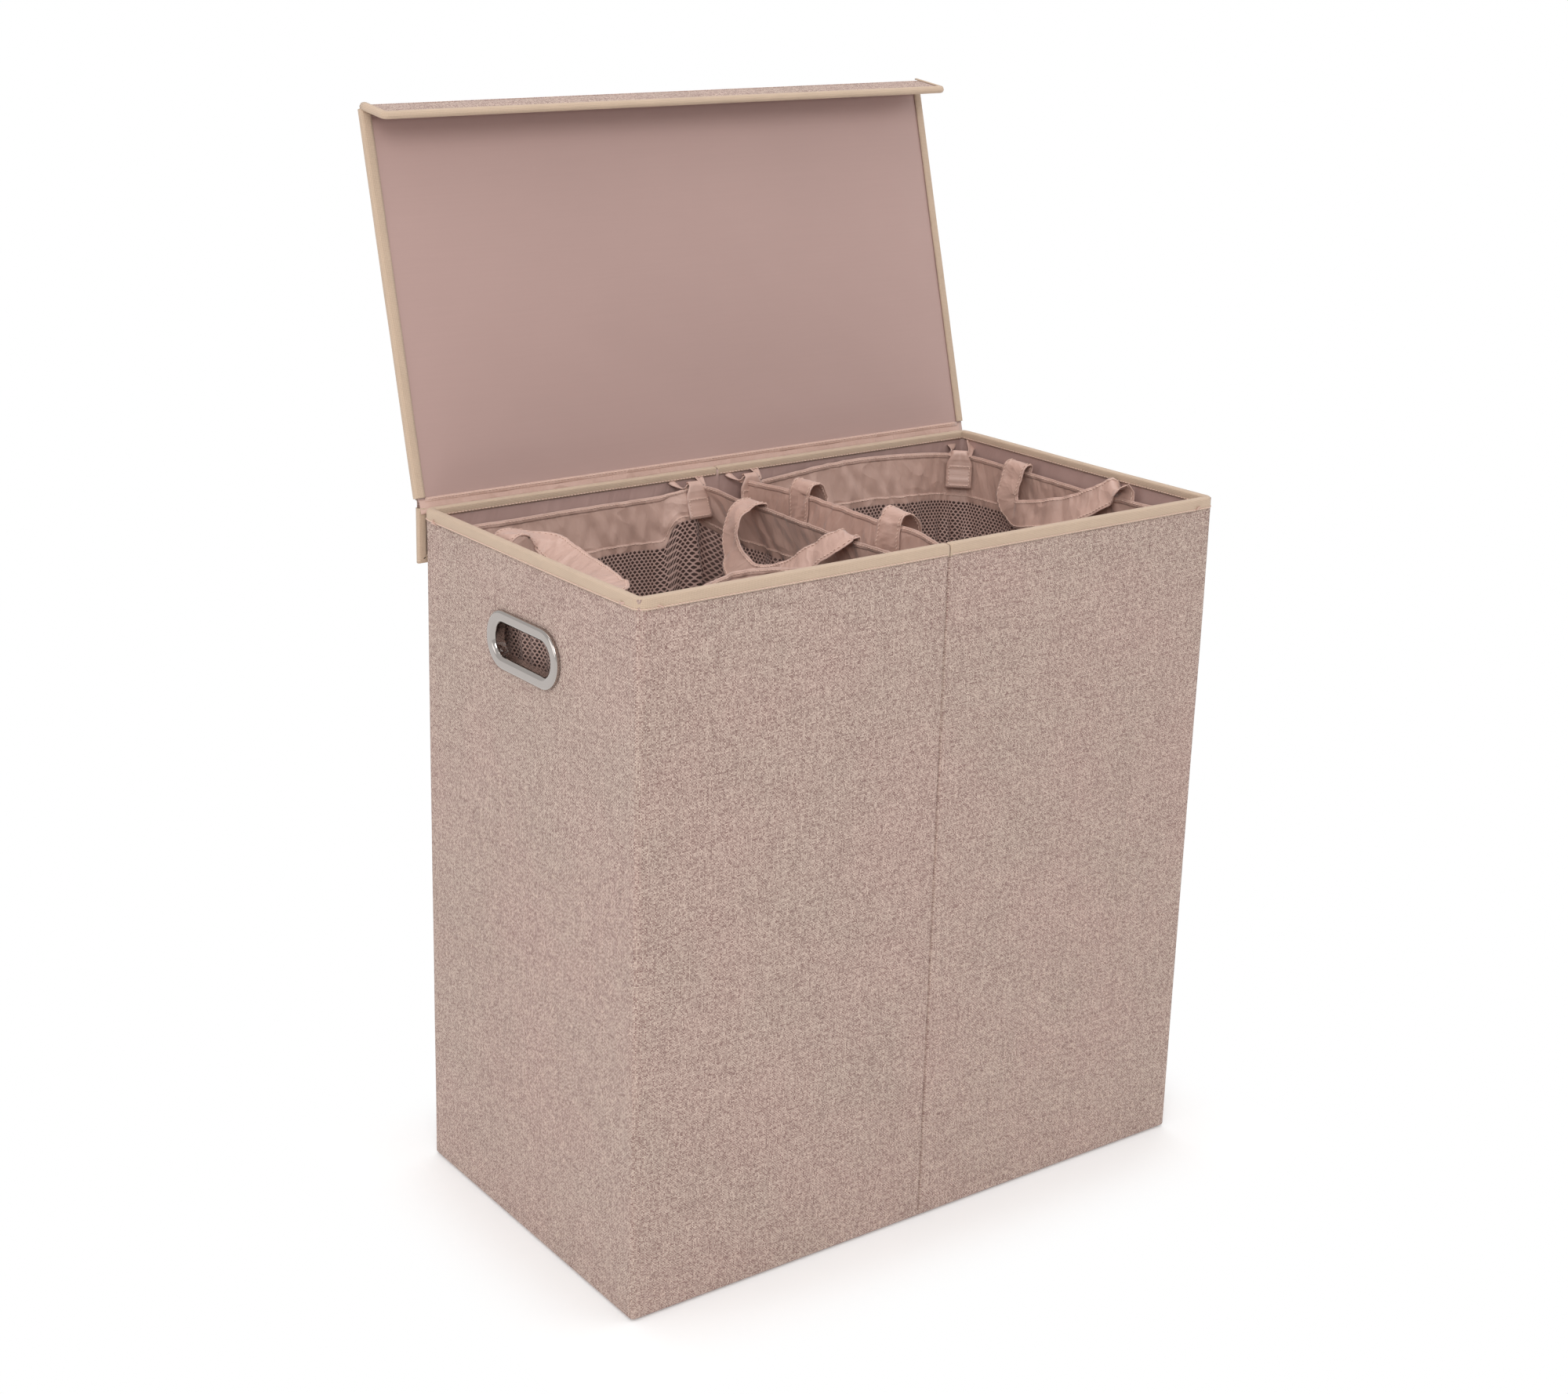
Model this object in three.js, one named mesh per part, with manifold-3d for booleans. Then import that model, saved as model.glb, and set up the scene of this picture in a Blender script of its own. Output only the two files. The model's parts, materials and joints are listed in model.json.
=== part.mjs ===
// Laundry hamper with two lift-out bags, a folding cloth-covered box and a hinged lid.
// Millimetres, +Z up. X runs along the hamper, -Y is its front, and the origin is the
// centre of the underside. The lid stands open, leaning back, as it is used.
import * as THREE from 'three';
import { mergeVertices } from 'three/addons/utils/BufferGeometryUtils.js';
import Module from 'manifold-3d';

const wasm = await Module();
wasm.setup();

// Box, measured over the binding of its rim
const boxLength = 616;
const boxWidth = 332;
const boxHeight = 619;
const boxCornerRadius = 4;
const tightestRadius = 0.5;

// Layers of cloth, board and tape
const clothThickness = 1;
const boardThickness = 3;
const liningThickness = 0.6;
const tapeThickness = 1;
const clearance = 0.3;
const cutOverrun = 5;

// Front and back fold line
const foldGap = 6;
const foldDepth = 1.4;
const tapeFoldGap = 1;

// Underside
const baseClothThickness = 1;
const hemRadius = 1.8;
const hemDepth = 14;
const baseClothInset = 3;
const baseBoardThickness = 4;
const baseBoardClearance = 1.5;
const baseBoardChamfer = 1;

// Rim binding
const rimTapeLeg = 10;

// Oval grip in each end wall
const gripLength = 88;
const gripHeight = 29;
const gripDrop = 83;
const gripRoundShare = 0.97;
const gripSleeveWall = 1.5;
const gripFlangeWidth = 11;
const gripFlangeRise = 4.6;
const gripFlangeEdge = 1.6;
const gripBackWidth = 8;
const gripBackThickness = 2;

// Hinge strip, held to the back wall by hook-and-loop tape
const fastenerTapeThickness = 1.8;
const fastenerTapeHeight = 20;
const fastenerTapeInset = 30;
const stripHeight = 48;
const stripBoardThickness = 3;
const stripTapeLeg = 7;

// Lid and lip
const lidOverhang = 3;
const lidOpenAngle = 105;
const lidHingeSetback = 3.5;
const lidTapeLeg = 9;
const lidHemWidth = 9;
const lidHemThickness = 0.8;
const lipLength = 44;
const lipRestAngle = 67;
const lipHingeSetback = 7.5;
const lipWallClearance = 1;
const lidCornerRadius = 6;

// Liner bags
const bagWallGap = 6;
const bagInnerGap = 12;
const bagTopDrop = 18;
const bagBandHeight = 48;
const bagBandThickness = 1;
const bagMeshThickness = 1.2;
const bagCornerFlat = 30;
const bagFlatRadius = 6;
const bagInnerRadius = 12;
const bagTaper = 14;
const bagBottomRadius = 22;

// Hook-and-loop tabs and the ribbon loops that they close on
const tabThickness = 1;
const tabFoldRadius = 1.4;
const tabFoldWidth = 15;
const tabWidth = 26;
const tabLength = 38;
const tabShoulder = 12;
const tabPatchHeight = 22;
const tabPatchThickness = 1.4;
const bandPatchThickness = 1.1;
const tabFromBagEnd = 20;
const ribbonThickness = 0.9;
const ribbonWidth = 9;
const ribbonOpening = 16;
const ribbonBarHeight = 3;
const ribbonLean = 45;

// Carrying straps, flopped into the bags
const strapSpacing = 144;
const strapWidth = 28;
const strapRise = 88;
const strapLegRise = 18;
const strapCrownWidth = 26;
const strapThickness = 1.2;
const strapFlopAngle = 102;
const strapEndThickness = 1;
const strapEndHeight = 40;

// Steps in round stretches
const cornerSteps = 5;
const gripSteps = 12;
const foldSteps = 8;
const strapSteps = 20;

// Places that follow from the sizes
const coverHalfLength = boxLength / 2 - tapeThickness - clearance;
const coverHalfWidth = boxWidth / 2 - tapeThickness - clearance;
const layerTop = boxHeight - tapeThickness - clearance;
const hemBottom = baseClothThickness + clearance;
const layerBottom = hemBottom + clothThickness + clearance;
const boardFace = clothThickness + clearance;
const boardBack = boardFace + boardThickness;
const liningFace = boardBack + clearance;
const liningBack = liningFace + liningThickness;
const insideHalfLength = coverHalfLength - liningBack;
const insideHalfWidth = coverHalfWidth - liningBack;
const rimTapeInside = liningBack + clearance + tapeThickness;
const gripHeightAboveFloor = boxHeight - gripDrop;
const baseBoardTop = layerBottom + baseBoardThickness;

const materials = {
  linen: { color: 0xb9a596, roughness: 0.9, metalness: 0 },
  board: { color: 0xa98f6c, roughness: 0.95, metalness: 0 },
  lining: { color: 0xa8948e, roughness: 0.55, metalness: 0 },
  tape: { color: 0xd6bf9f, roughness: 0.85, metalness: 0 },
  chrome: { color: 0xb9b6b2, roughness: 0.12, metalness: 1 },
  polyester: { color: 0xbe9b8c, roughness: 0.5, metalness: 0 },
  mesh: { color: 0x8f7a70, roughness: 0.8, metalness: 0 },
  fastener: { color: 0xb7a193, roughness: 1, metalness: 0 },
};

const hamper = new THREE.Group();

function addPiece(parent, name, geometry, finish) {
  const piece = new THREE.Mesh(geometry, new THREE.MeshStandardMaterial(materials[finish]));
  piece.name = name;
  parent.add(piece);
  return piece;
}

// Corners of a rectangle, anticlockwise, each with its radius
function rectangle(x0, x1, y0, y1, radius) {
  return [
    { x: x1, y: y0, radius },
    { x: x1, y: y1, radius },
    { x: x0, y: y1, radius },
    { x: x0, y: y0, radius },
  ];
}

// The outline through rounded corners, with each edge moved outwards by a distance.
// Each corner gives the same number of points, so outlines can be lofted.
function outline(corners, outward = 0, steps = cornerSteps) {
  const points = [];
  corners.forEach((corner, i) => {
    const before = corners[(i + corners.length - 1) % corners.length];
    const after = corners[(i + 1) % corners.length];
    const here = new THREE.Vector2(corner.x, corner.y);
    const arriving = here.clone().sub(new THREE.Vector2(before.x, before.y)).normalize();
    const leaving = new THREE.Vector2(after.x, after.y).sub(here).normalize();
    const turn = Math.atan2(arriving.cross(leaving), arriving.dot(leaving));
    const outArriving = new THREE.Vector2(arriving.y, -arriving.x);
    const radius = Math.max(corner.radius + outward, tightestRadius);
    const centre = here
      .clone()
      .addScaledVector(arriving, (outward - radius) * Math.tan(turn / 2))
      .addScaledVector(outArriving, outward - radius);
    const start = Math.atan2(outArriving.y, outArriving.x);
    for (let step = 0; step <= steps; step += 1) {
      const angle = start + (turn * step) / steps;
      const across = radius * Math.cos(angle);
      points.push(new THREE.Vector2(centre.x + across, centre.y + radius * Math.sin(angle)));
    }
  });
  return points;
}

// A closed skin through level rings of points. A looped skin joins its last ring to its
// first, as in a frame, and any other skin is capped at both ends.
function loft(rings, looped) {
  const count = rings[0].length;
  const vertices = rings.flat().flatMap((point) => [point.x, point.y, point.z]);
  const triangles = [];
  const spans = looped ? rings.length : rings.length - 1;
  for (let ring = 0; ring < spans; ring += 1) {
    const low = ring * count;
    const high = ((ring + 1) % rings.length) * count;
    for (let i = 0; i < count; i += 1) {
      const next = (i + 1) % count;
      triangles.push(low + i, low + next, high + next, low + i, high + next, high + i);
    }
  }
  if (!looped) {
    for (const ring of [0, rings.length - 1]) {
      const flat = rings[ring].map((point) => new THREE.Vector2(point.x, point.y));
      const start = ring * count;
      for (const [a, b, c] of THREE.ShapeUtils.triangulateShape(flat, [])) {
        if (ring === 0) triangles.push(start + a, start + c, start + b);
        else triangles.push(start + a, start + b, start + c);
      }
    }
  }
  const geometry = new THREE.BufferGeometry();
  geometry.setAttribute('position', new THREE.Float32BufferAttribute(vertices, 3));
  geometry.setIndex(triangles);
  return facingOut(geometry);
}

// Turns a closed skin the right way round, judged by the sign of its volume
function facingOut(geometry) {
  const index = geometry.index.array;
  const position = geometry.attributes.position;
  const [a, b, c] = [new THREE.Vector3(), new THREE.Vector3(), new THREE.Vector3()];
  let volume = 0;
  for (let i = 0; i < index.length; i += 3) {
    a.fromBufferAttribute(position, index[i]);
    b.fromBufferAttribute(position, index[i + 1]);
    c.fromBufferAttribute(position, index[i + 2]);
    volume += a.dot(b.cross(c));
  }
  if (volume < 0) {
    for (let i = 0; i < index.length; i += 3) {
      [index[i + 1], index[i + 2]] = [index[i + 2], index[i + 1]];
    }
  }
  return geometry;
}

function levelRing(corners, outward, z, steps) {
  return outline(corners, outward, steps).map((p) => new THREE.Vector3(p.x, p.y, z));
}

// A frame that follows an outline, with a profile of [outward, z] points
function frameSolid(corners, profile, steps) {
  return loft(profile.map(([outward, z]) => levelRing(corners, outward, z, steps)), true);
}

// An upright prism on an outline
function prism(corners, outward, z0, z1, steps) {
  return loft([levelRing(corners, outward, z0, steps), levelRing(corners, outward, z1, steps)]);
}

function block(x0, x1, y0, y1, z0, z1) {
  const geometry = new THREE.BoxGeometry(x1 - x0, y1 - y0, z1 - z0);
  return geometry.translate((x0 + x1) / 2, (y0 + y1) / 2, (z0 + z1) / 2);
}

// Turns a shape drawn on the level plane upright, so that it faces along X
const facingX = new THREE.Matrix4().makeBasis(
  new THREE.Vector3(0, 1, 0),
  new THREE.Vector3(0, 0, 1),
  new THREE.Vector3(1, 0, 0)
);

// A side profile of [y, z] points, drawn out along X between two places
function alongX(profile, x0, x1) {
  const shape = new THREE.Shape(profile.map(([y, z]) => new THREE.Vector2(y, z)));
  const geometry = new THREE.ExtrudeGeometry(shape, { depth: x1 - x0, bevelEnabled: false });
  return geometry.applyMatrix4(facingX).translate(x0, 0, 0);
}

function toSolid(geometry) {
  const bare = geometry.clone();
  bare.deleteAttribute('normal');
  bare.deleteAttribute('uv');
  const merged = mergeVertices(bare);
  const mesh = new wasm.Mesh({
    numProp: 3,
    vertProperties: new Float32Array(merged.attributes.position.array),
    triVerts: new Uint32Array(merged.index.array),
  });
  return new wasm.Manifold(mesh);
}

function toGeometry(solid) {
  const mesh = solid.getMesh();
  const geometry = new THREE.BufferGeometry();
  const positions = new Float32Array(mesh.vertProperties);
  geometry.setAttribute('position', new THREE.BufferAttribute(positions, 3));
  geometry.setIndex(Array.from(mesh.triVerts));
  return geometry;
}

function cut(geometry, ...cutters) {
  return toGeometry(cutters.reduce((rest, tool) => rest.subtract(toSolid(tool)), toSolid(geometry)));
}

function join(geometry, ...others) {
  return toGeometry(others.reduce((sum, other) => sum.add(toSolid(other)), toSolid(geometry)));
}

function common(geometry, ...others) {
  return toGeometry(others.reduce((rest, o) => rest.intersect(toSolid(o)), toSolid(geometry)));
}

// Box

const boxCorners = rectangle(
  -coverHalfLength,
  coverHalfLength,
  -coverHalfWidth,
  coverHalfWidth,
  boxCornerRadius
);

// Outline of the grip's opening, in its own plane
function gripCorners() {
  const [a, b] = [gripLength / 2, gripHeight / 2];
  return rectangle(-a, a, -b, b, b * gripRoundShare);
}

function gripHole(side) {
  const depth = liningBack + cutOverrun;
  const around = gripSleeveWall + clearance;
  const tool = prism(gripCorners(), around, -depth, cutOverrun, gripSteps);
  tool.applyMatrix4(facingX);
  tool.translate(coverHalfLength, 0, gripHeightAboveFloor);
  return side > 0 ? tool : tool.rotateZ(Math.PI);
}

// A small V-shaped upright bar at the fold line, pointing inwards from y
function foldBar(y, halfWidth, depth, z0, z1) {
  const direction = -Math.sign(y);
  const shape = new THREE.Shape([
    new THREE.Vector2(-halfWidth, y - direction * cutOverrun),
    new THREE.Vector2(halfWidth, y - direction * cutOverrun),
    new THREE.Vector2(halfWidth, y),
    new THREE.Vector2(0, y + direction * depth),
    new THREE.Vector2(-halfWidth, y),
  ]);
  const bar = new THREE.ExtrudeGeometry(shape, { depth: z1 - z0, bevelEnabled: false });
  return bar.translate(0, 0, z0);
}

function outerCover() {
  const hemArc = [];
  for (let step = 0; step <= foldSteps / 2; step += 1) {
    const angle = (Math.PI / foldSteps) * step;
    hemArc.push([
      -hemRadius * (1 - Math.cos(angle)),
      hemBottom + hemRadius * (1 - Math.sin(angle)),
    ]);
  }
  const profile = [
    [0, layerTop],
    ...hemArc,
    [-hemDepth, hemBottom],
    [-hemDepth, hemBottom + clothThickness],
    [-clothThickness, hemBottom + clothThickness],
    [-clothThickness, layerTop],
  ];
  const wall = frameSolid(boxCorners, profile);
  const inner = coverHalfWidth - clothThickness;
  const ridgeBottom = hemBottom + clothThickness / 2;
  const half = foldGap / 2;
  const outside = (side) => {
    const [near, far] = [coverHalfWidth, coverHalfWidth + foldGap];
    const [y0, y1] = side > 0 ? [near, far] : [-far, -near];
    return block(-foldGap, foldGap, y0, y1, 0, boxHeight);
  };
  const ridges = [-1, 1].map((side) =>
    cut(foldBar(side * inner, half, foldDepth, ridgeBottom, layerTop), outside(side))
  );
  const grooves = [-1, 1].map((side) =>
    foldBar(side * coverHalfWidth, half, foldDepth, -cutOverrun, boxHeight)
  );
  return cut(join(wall, ...ridges), ...grooves, gripHole(1), gripHole(-1));
}

function wallBoards() {
  const outer = prism(boxCorners, -boardFace, layerBottom, layerTop);
  const [faceX, faceY] = [coverHalfLength - boardFace, coverHalfWidth - boardFace];
  const [backX, backY] = [faceX - boardThickness, faceY - boardThickness];
  const endHalf = backY - clearance;
  for (const [side, name] of [[-1, 'left'], [1, 'right']]) {
    const [near, far] = side > 0 ? [backX, faceX] : [-faceX, -backX];
    const end = block(near, far, -endHalf, endHalf, layerBottom, layerTop);
    addPiece(hamper, `board_${name}`, cut(common(end, outer), gripHole(side)), 'board');
    const [start, stop] = side > 0 ? [foldGap / 2, faceX] : [-faceX, -foldGap / 2];
    const front = block(start, stop, -faceY, -backY, layerBottom, layerTop);
    const back = block(start, stop, backY, faceY, layerBottom, layerTop);
    addPiece(hamper, `board_front_${name}`, common(front, outer), 'board');
    addPiece(hamper, `board_back_${name}`, common(back, outer), 'board');
  }
}

function lining() {
  const profile = [
    [-liningFace, layerTop],
    [-liningFace, layerBottom],
    [-liningBack, layerBottom],
    [-liningBack, layerTop],
  ];
  return cut(frameSolid(boxCorners, profile), gripHole(1), gripHole(-1));
}

function baseBoard() {
  const inset = liningBack + baseBoardClearance;
  const rings = [
    [baseBoardChamfer, layerBottom],
    [0, layerBottom + baseBoardChamfer],
    [0, baseBoardTop - baseBoardChamfer],
    [baseBoardChamfer, baseBoardTop],
  ];
  return loft(rings.map(([inward, z]) => levelRing(boxCorners, -inset - inward, z)));
}

function rimBinding(side) {
  const outside = clearance + tapeThickness;
  const round = tapeThickness * (1 - Math.SQRT1_2);
  const legBottom = boxHeight - rimTapeLeg;
  const tapeUnder = boxHeight - tapeThickness;
  const profile = [
    [outside, tapeUnder],
    [outside, legBottom],
    [clearance, legBottom],
    [clearance, tapeUnder],
    [-liningBack - clearance, tapeUnder],
    [-liningBack - clearance, legBottom],
    [-rimTapeInside, legBottom],
    [-rimTapeInside, tapeUnder],
    [-rimTapeInside + round, boxHeight - round],
    [-liningBack - clearance, boxHeight],
    [clearance, boxHeight],
    [outside - round, boxHeight - round],
  ];
  const half = (side * tapeFoldGap) / 2;
  const reach = side * boxLength;
  const [near, far] = [Math.min(half, reach), Math.max(half, reach)];
  const halfSpace = block(near, far, -boxWidth, boxWidth, 0, boxHeight + cutOverrun);
  return common(frameSolid(boxCorners, profile), halfSpace);
}

// Pressed oval ring with its sleeve through the wall, and the ring that it snaps into
function gripRing() {
  const sleeveEnd = -liningBack - clearance - gripBackThickness + clearance;
  const profile = [
    [0, sleeveEnd],
    [gripSleeveWall, sleeveEnd],
    [gripSleeveWall, clearance],
    [gripFlangeWidth, clearance],
    [gripFlangeWidth, gripFlangeRise - gripFlangeEdge * 2],
    [gripFlangeWidth - gripFlangeEdge / 2, gripFlangeRise - gripFlangeEdge],
    [gripFlangeWidth - gripFlangeEdge, gripFlangeRise - gripFlangeEdge / 2],
    [gripFlangeWidth - gripFlangeEdge * 2, gripFlangeRise],
    [gripFlangeEdge * 1.5, gripFlangeRise],
    [gripFlangeEdge / 2, gripFlangeRise - gripFlangeEdge / 2],
    [0, gripFlangeRise - gripFlangeEdge * 1.5],
  ];
  return frameSolid(gripCorners(), profile, gripSteps);
}

function gripBackRing() {
  const inner = gripSleeveWall + clearance;
  const outer = inner + gripBackWidth;
  const front = -liningBack - clearance;
  const back = front - gripBackThickness;
  const profile = [
    [inner, front],
    [inner, back],
    [outer - gripBackThickness, back],
    [outer, (front + back) / 2],
    [outer, front],
  ];
  return frameSolid(gripCorners(), profile, gripSteps);
}

addPiece(hamper, 'outer_cover', outerCover(), 'linen');
wallBoards();
addPiece(hamper, 'lining', lining(), 'lining');
const baseCloth = prism(boxCorners, -baseClothInset, 0, baseClothThickness);
addPiece(hamper, 'base_cloth', baseCloth, 'lining');
addPiece(hamper, 'base_board', baseBoard(), 'lining');
addPiece(hamper, 'rim_binding_left', rimBinding(-1), 'tape');
addPiece(hamper, 'rim_binding_right', rimBinding(1), 'tape');

for (const [side, name] of [[-1, 'left'], [1, 'right']]) {
  const end = new THREE.Group();
  end.rotation.z = side > 0 ? 0 : Math.PI;
  const wall = new THREE.Group();
  wall.position.set(coverHalfLength, 0, gripHeightAboveFloor);
  wall.quaternion.setFromRotationMatrix(facingX);
  end.add(wall);
  hamper.add(end);
  addPiece(wall, `grip_ring_${name}`, gripRing(), 'chrome');
  addPiece(wall, `grip_back_ring_${name}`, gripBackRing(), 'chrome');
}

// Hinge strip on the back wall, outwards from the cover: hook tape, loop tape, board, cloth

const lidLining = liningThickness;
const lidStack = lidLining + clearance + boardThickness + clearance + clothThickness;
const lidBottom = -lidStack / 2;
const lidBoardBottom = lidBottom + lidLining + clearance;
const lidBoardTop = lidBoardBottom + boardThickness;
const lidCoverBottom = lidBoardTop + clearance;
const lidTop = lidStack / 2;
const edgeTape = clearance + tapeThickness;
const lidHalfLength = boxLength / 2 + lidOverhang;

const hookFace = coverHalfWidth + clearance;
const loopFace = hookFace + fastenerTapeThickness + clearance;
const stripBoardFace = loopFace + fastenerTapeThickness + clearance;
const stripCoverFace = stripBoardFace + stripBoardThickness + clearance;
const hingeY = stripCoverFace + clothThickness / 2;
const lidUnderside = lidStack / 2 + edgeTape;
const hingeZ = boxHeight + clearance + lidUnderside;
const stripTop = hingeZ - lidUnderside - clearance;
const stripBottom = stripTop - stripHeight;
const stripHalf = lidHalfLength - edgeTape;

function hingeStrip() {
  const tapeTop = boxHeight - rimTapeLeg - clearance;
  const tapeHalf = stripHalf - fastenerTapeInset;
  const tapeBottom = tapeTop - fastenerTapeHeight;
  const fastener = (face) =>
    block(-tapeHalf, tapeHalf, face, face + fastenerTapeThickness, tapeBottom, tapeTop);
  addPiece(hamper, 'hook_tape', fastener(hookFace), 'fastener');
  addPiece(hamper, 'loop_tape', fastener(loopFace), 'fastener');
  const boardEnd = stripBoardFace + stripBoardThickness;
  const board = block(-stripHalf, stripHalf, stripBoardFace, boardEnd, stripBottom, stripTop);
  addPiece(hamper, 'strip_board', board, 'board');
  const clothEnd = stripCoverFace + clothThickness;
  const clothTop = hingeZ - clothThickness / 2 - clearance;
  const cloth = block(-stripHalf, stripHalf, stripCoverFace, clothEnd, stripBottom, clothTop);
  addPiece(hamper, 'strip_cover', cloth, 'linen');
  addPiece(hamper, 'strip_binding', stripBinding(boardEnd, clothEnd), 'tape');
}

// Tape folded round the ends and the lower edge of the strip
function stripBinding(boardEnd, clothEnd) {
  const [inner, outer] = [stripBoardFace - edgeTape, clothEnd + edgeTape];
  const end = stripHalf + edgeTape;
  const low = stripBottom - edgeTape;
  const body = block(-end, end, inner, outer, low, stripTop);
  const [hollowEnd, hollowLow] = [stripHalf + clearance, stripBottom - clearance];
  const hollow = block(
    -hollowEnd,
    hollowEnd,
    stripBoardFace - clearance,
    clothEnd + clearance,
    hollowLow,
    boxHeight + cutOverrun
  );
  const [windowEnd, windowLow] = [stripHalf - stripTapeLeg, stripBottom + stripTapeLeg];
  const window = block(
    -windowEnd,
    windowEnd,
    inner - cutOverrun,
    outer + cutOverrun,
    windowLow,
    boxHeight + cutOverrun
  );
  return cut(body, hollow, window);
}

hingeStrip();

// Lid, drawn as it lies when shut: the hinge line is the origin and -Y is the lip's side

const lid = new THREE.Group();
lid.position.set(0, hingeY, hingeZ);
lid.rotation.x = THREE.MathUtils.degToRad(-lidOpenAngle);
hamper.add(lid);

const lipFoldY = -(hingeY + boxWidth / 2 + lipWallClearance + edgeTape + lidStack / 2);
const lidFarEdge = lipFoldY + lipHingeSetback;
const lidPlateHalf = lidHalfLength - edgeTape;

function lidPlate(z0, z1) {
  return block(-lidPlateHalf, lidPlateHalf, lidFarEdge, -lidHingeSetback, z0, z1);
}

// Outer cloth of the lid, whose tongues reach the hinge line and the lip's fold line
function lidCover() {
  const noseHalf = clothThickness / 2;
  const profile = [
    [-lidHingeSetback, lidTop],
    [lipFoldY + noseHalf + clearance, lidTop],
    [lipFoldY + noseHalf + clearance, clearance],
    [lidFarEdge, lidCoverBottom],
    [-lidHingeSetback, lidCoverBottom],
    [-noseHalf, -noseHalf],
    [0, noseHalf],
  ];
  return alongX(profile, -lidPlateHalf, lidPlateHalf);
}

// Tape folded round one side edge, from one Y to another
function sideBinding(side, y0, y1, leg) {
  const [edge, foot] = [side * lidPlateHalf, side * (lidPlateHalf - leg)];
  const outer = edge + side * edgeTape;
  const sorted = (a, b) => [Math.min(a, b), Math.max(a, b)];
  const [bodyX0, bodyX1] = sorted(foot, outer);
  const body = block(bodyX0, bodyX1, y0, y1, lidBottom - edgeTape, lidTop + edgeTape);
  const [hollowX0, hollowX1] = sorted(foot - side * cutOverrun, edge + side * clearance);
  const hollow = block(
    hollowX0,
    hollowX1,
    y0 - cutOverrun,
    y1 + cutOverrun,
    lidBottom - clearance,
    lidTop + clearance
  );
  return cut(body, hollow);
}

addPiece(lid, 'lid_lining', lidPlate(lidBottom, lidBottom + lidLining), 'lining');
addPiece(lid, 'lid_board', lidPlate(lidBoardBottom, lidBoardTop), 'board');
addPiece(lid, 'lid_cover', lidCover(), 'linen');
addPiece(lid, 'lid_binding_left', sideBinding(-1, lidFarEdge, -lidHingeSetback, lidTapeLeg), 'tape');
addPiece(lid, 'lid_binding_right', sideBinding(1, lidFarEdge, -lidHingeSetback, lidTapeLeg), 'tape');

const hemHalf = lidPlateHalf - lidTapeLeg - clearance;
const hemTop = lidBottom - clearance;
const lidHem = block(
  -hemHalf,
  hemHalf,
  -lidHingeSetback - lidHemWidth,
  -lidHingeSetback,
  hemTop - lidHemThickness,
  hemTop
);
addPiece(lid, 'lid_hem', lidHem, 'polyester');

// Lip, drawn in the lid's plane beyond its fold line, which is the origin

const lip = new THREE.Group();
lip.position.set(0, lipFoldY, 0);
lip.rotation.x = THREE.MathUtils.degToRad(180 - lipRestAngle);
lid.add(lip);

function lipCorners() {
  const x = lidPlateHalf;
  const [near, far] = [-lipHingeSetback, -lipLength + edgeTape];
  return [
    { x, y: far, radius: lidCornerRadius },
    { x, y: near, radius: clothThickness },
    { x: -x, y: near, radius: clothThickness },
    { x: -x, y: far, radius: lidCornerRadius },
  ];
}

function lipCover() {
  const noseHalf = clothThickness / 2;
  const tongue = alongX(
    [
      [-lipHingeSetback - clothThickness, lidTop],
      [-lipHingeSetback - clothThickness, lidCoverBottom],
      [-lipHingeSetback, lidCoverBottom],
      [-noseHalf, -noseHalf],
      [0, noseHalf],
      [-lipHingeSetback, lidTop],
    ],
    -lidPlateHalf + clothThickness,
    lidPlateHalf - clothThickness
  );
  return join(prism(lipCorners(), 0, lidCoverBottom, lidTop), tongue);
}

// Tape folded round the lip's two ends and its free edge
function lipBinding() {
  const body = prism(lipCorners(), edgeTape, lidBottom - edgeTape, lidTop + edgeTape);
  const hollow = prism(lipCorners(), clearance, lidBottom - clearance, lidTop + clearance);
  const foot = lidPlateHalf - lidTapeLeg;
  const footY = -lipLength + edgeTape + lidTapeLeg;
  const tall = lidStack + cutOverrun;
  const window = block(-foot, foot, footY, cutOverrun, -tall, tall);
  const past = lidHalfLength + cutOverrun;
  const foldSide = block(-past, past, -lipHingeSetback, cutOverrun, -tall, tall);
  return cut(body, hollow, window, foldSide);
}

addPiece(lip, 'lip_lining', prism(lipCorners(), 0, lidBottom, lidBottom + lidLining), 'lining');
addPiece(lip, 'lip_board', prism(lipCorners(), 0, lidBoardBottom, lidBoardTop), 'board');
addPiece(lip, 'lip_cover', lipCover(), 'linen');
addPiece(lip, 'lip_binding', lipBinding(), 'tape');

// Bags, drawn for the right-hand half and turned round for the left

const bagTop = boxHeight - bagTopDrop;
const bandBottom = bagTop - bagBandHeight;
const bagFloor = baseBoardTop + clearance;
const bagX0 = bagInnerGap;
const bagX1 = insideHalfLength - bagWallGap;
const bagHalfWidth = insideHalfWidth - bagWallGap;
const flatLeg = bagCornerFlat * Math.SQRT1_2;

// Outline of a bag, each side moved inwards alike, with its flats where the tabs hang
function bagOutline(inward) {
  const [x0, x1] = [bagX0 + inward, bagX1 - inward];
  const y = bagHalfWidth - inward;
  return [
    { x: x0, y: -y, radius: bagInnerRadius },
    { x: x1 - flatLeg, y: -y, radius: bagFlatRadius },
    { x: x1, y: -y + flatLeg, radius: bagFlatRadius },
    { x: x1, y: y - flatLeg, radius: bagFlatRadius },
    { x: x1 - flatLeg, y, radius: bagFlatRadius },
    { x: x0, y, radius: bagInnerRadius },
  ];
}

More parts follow.
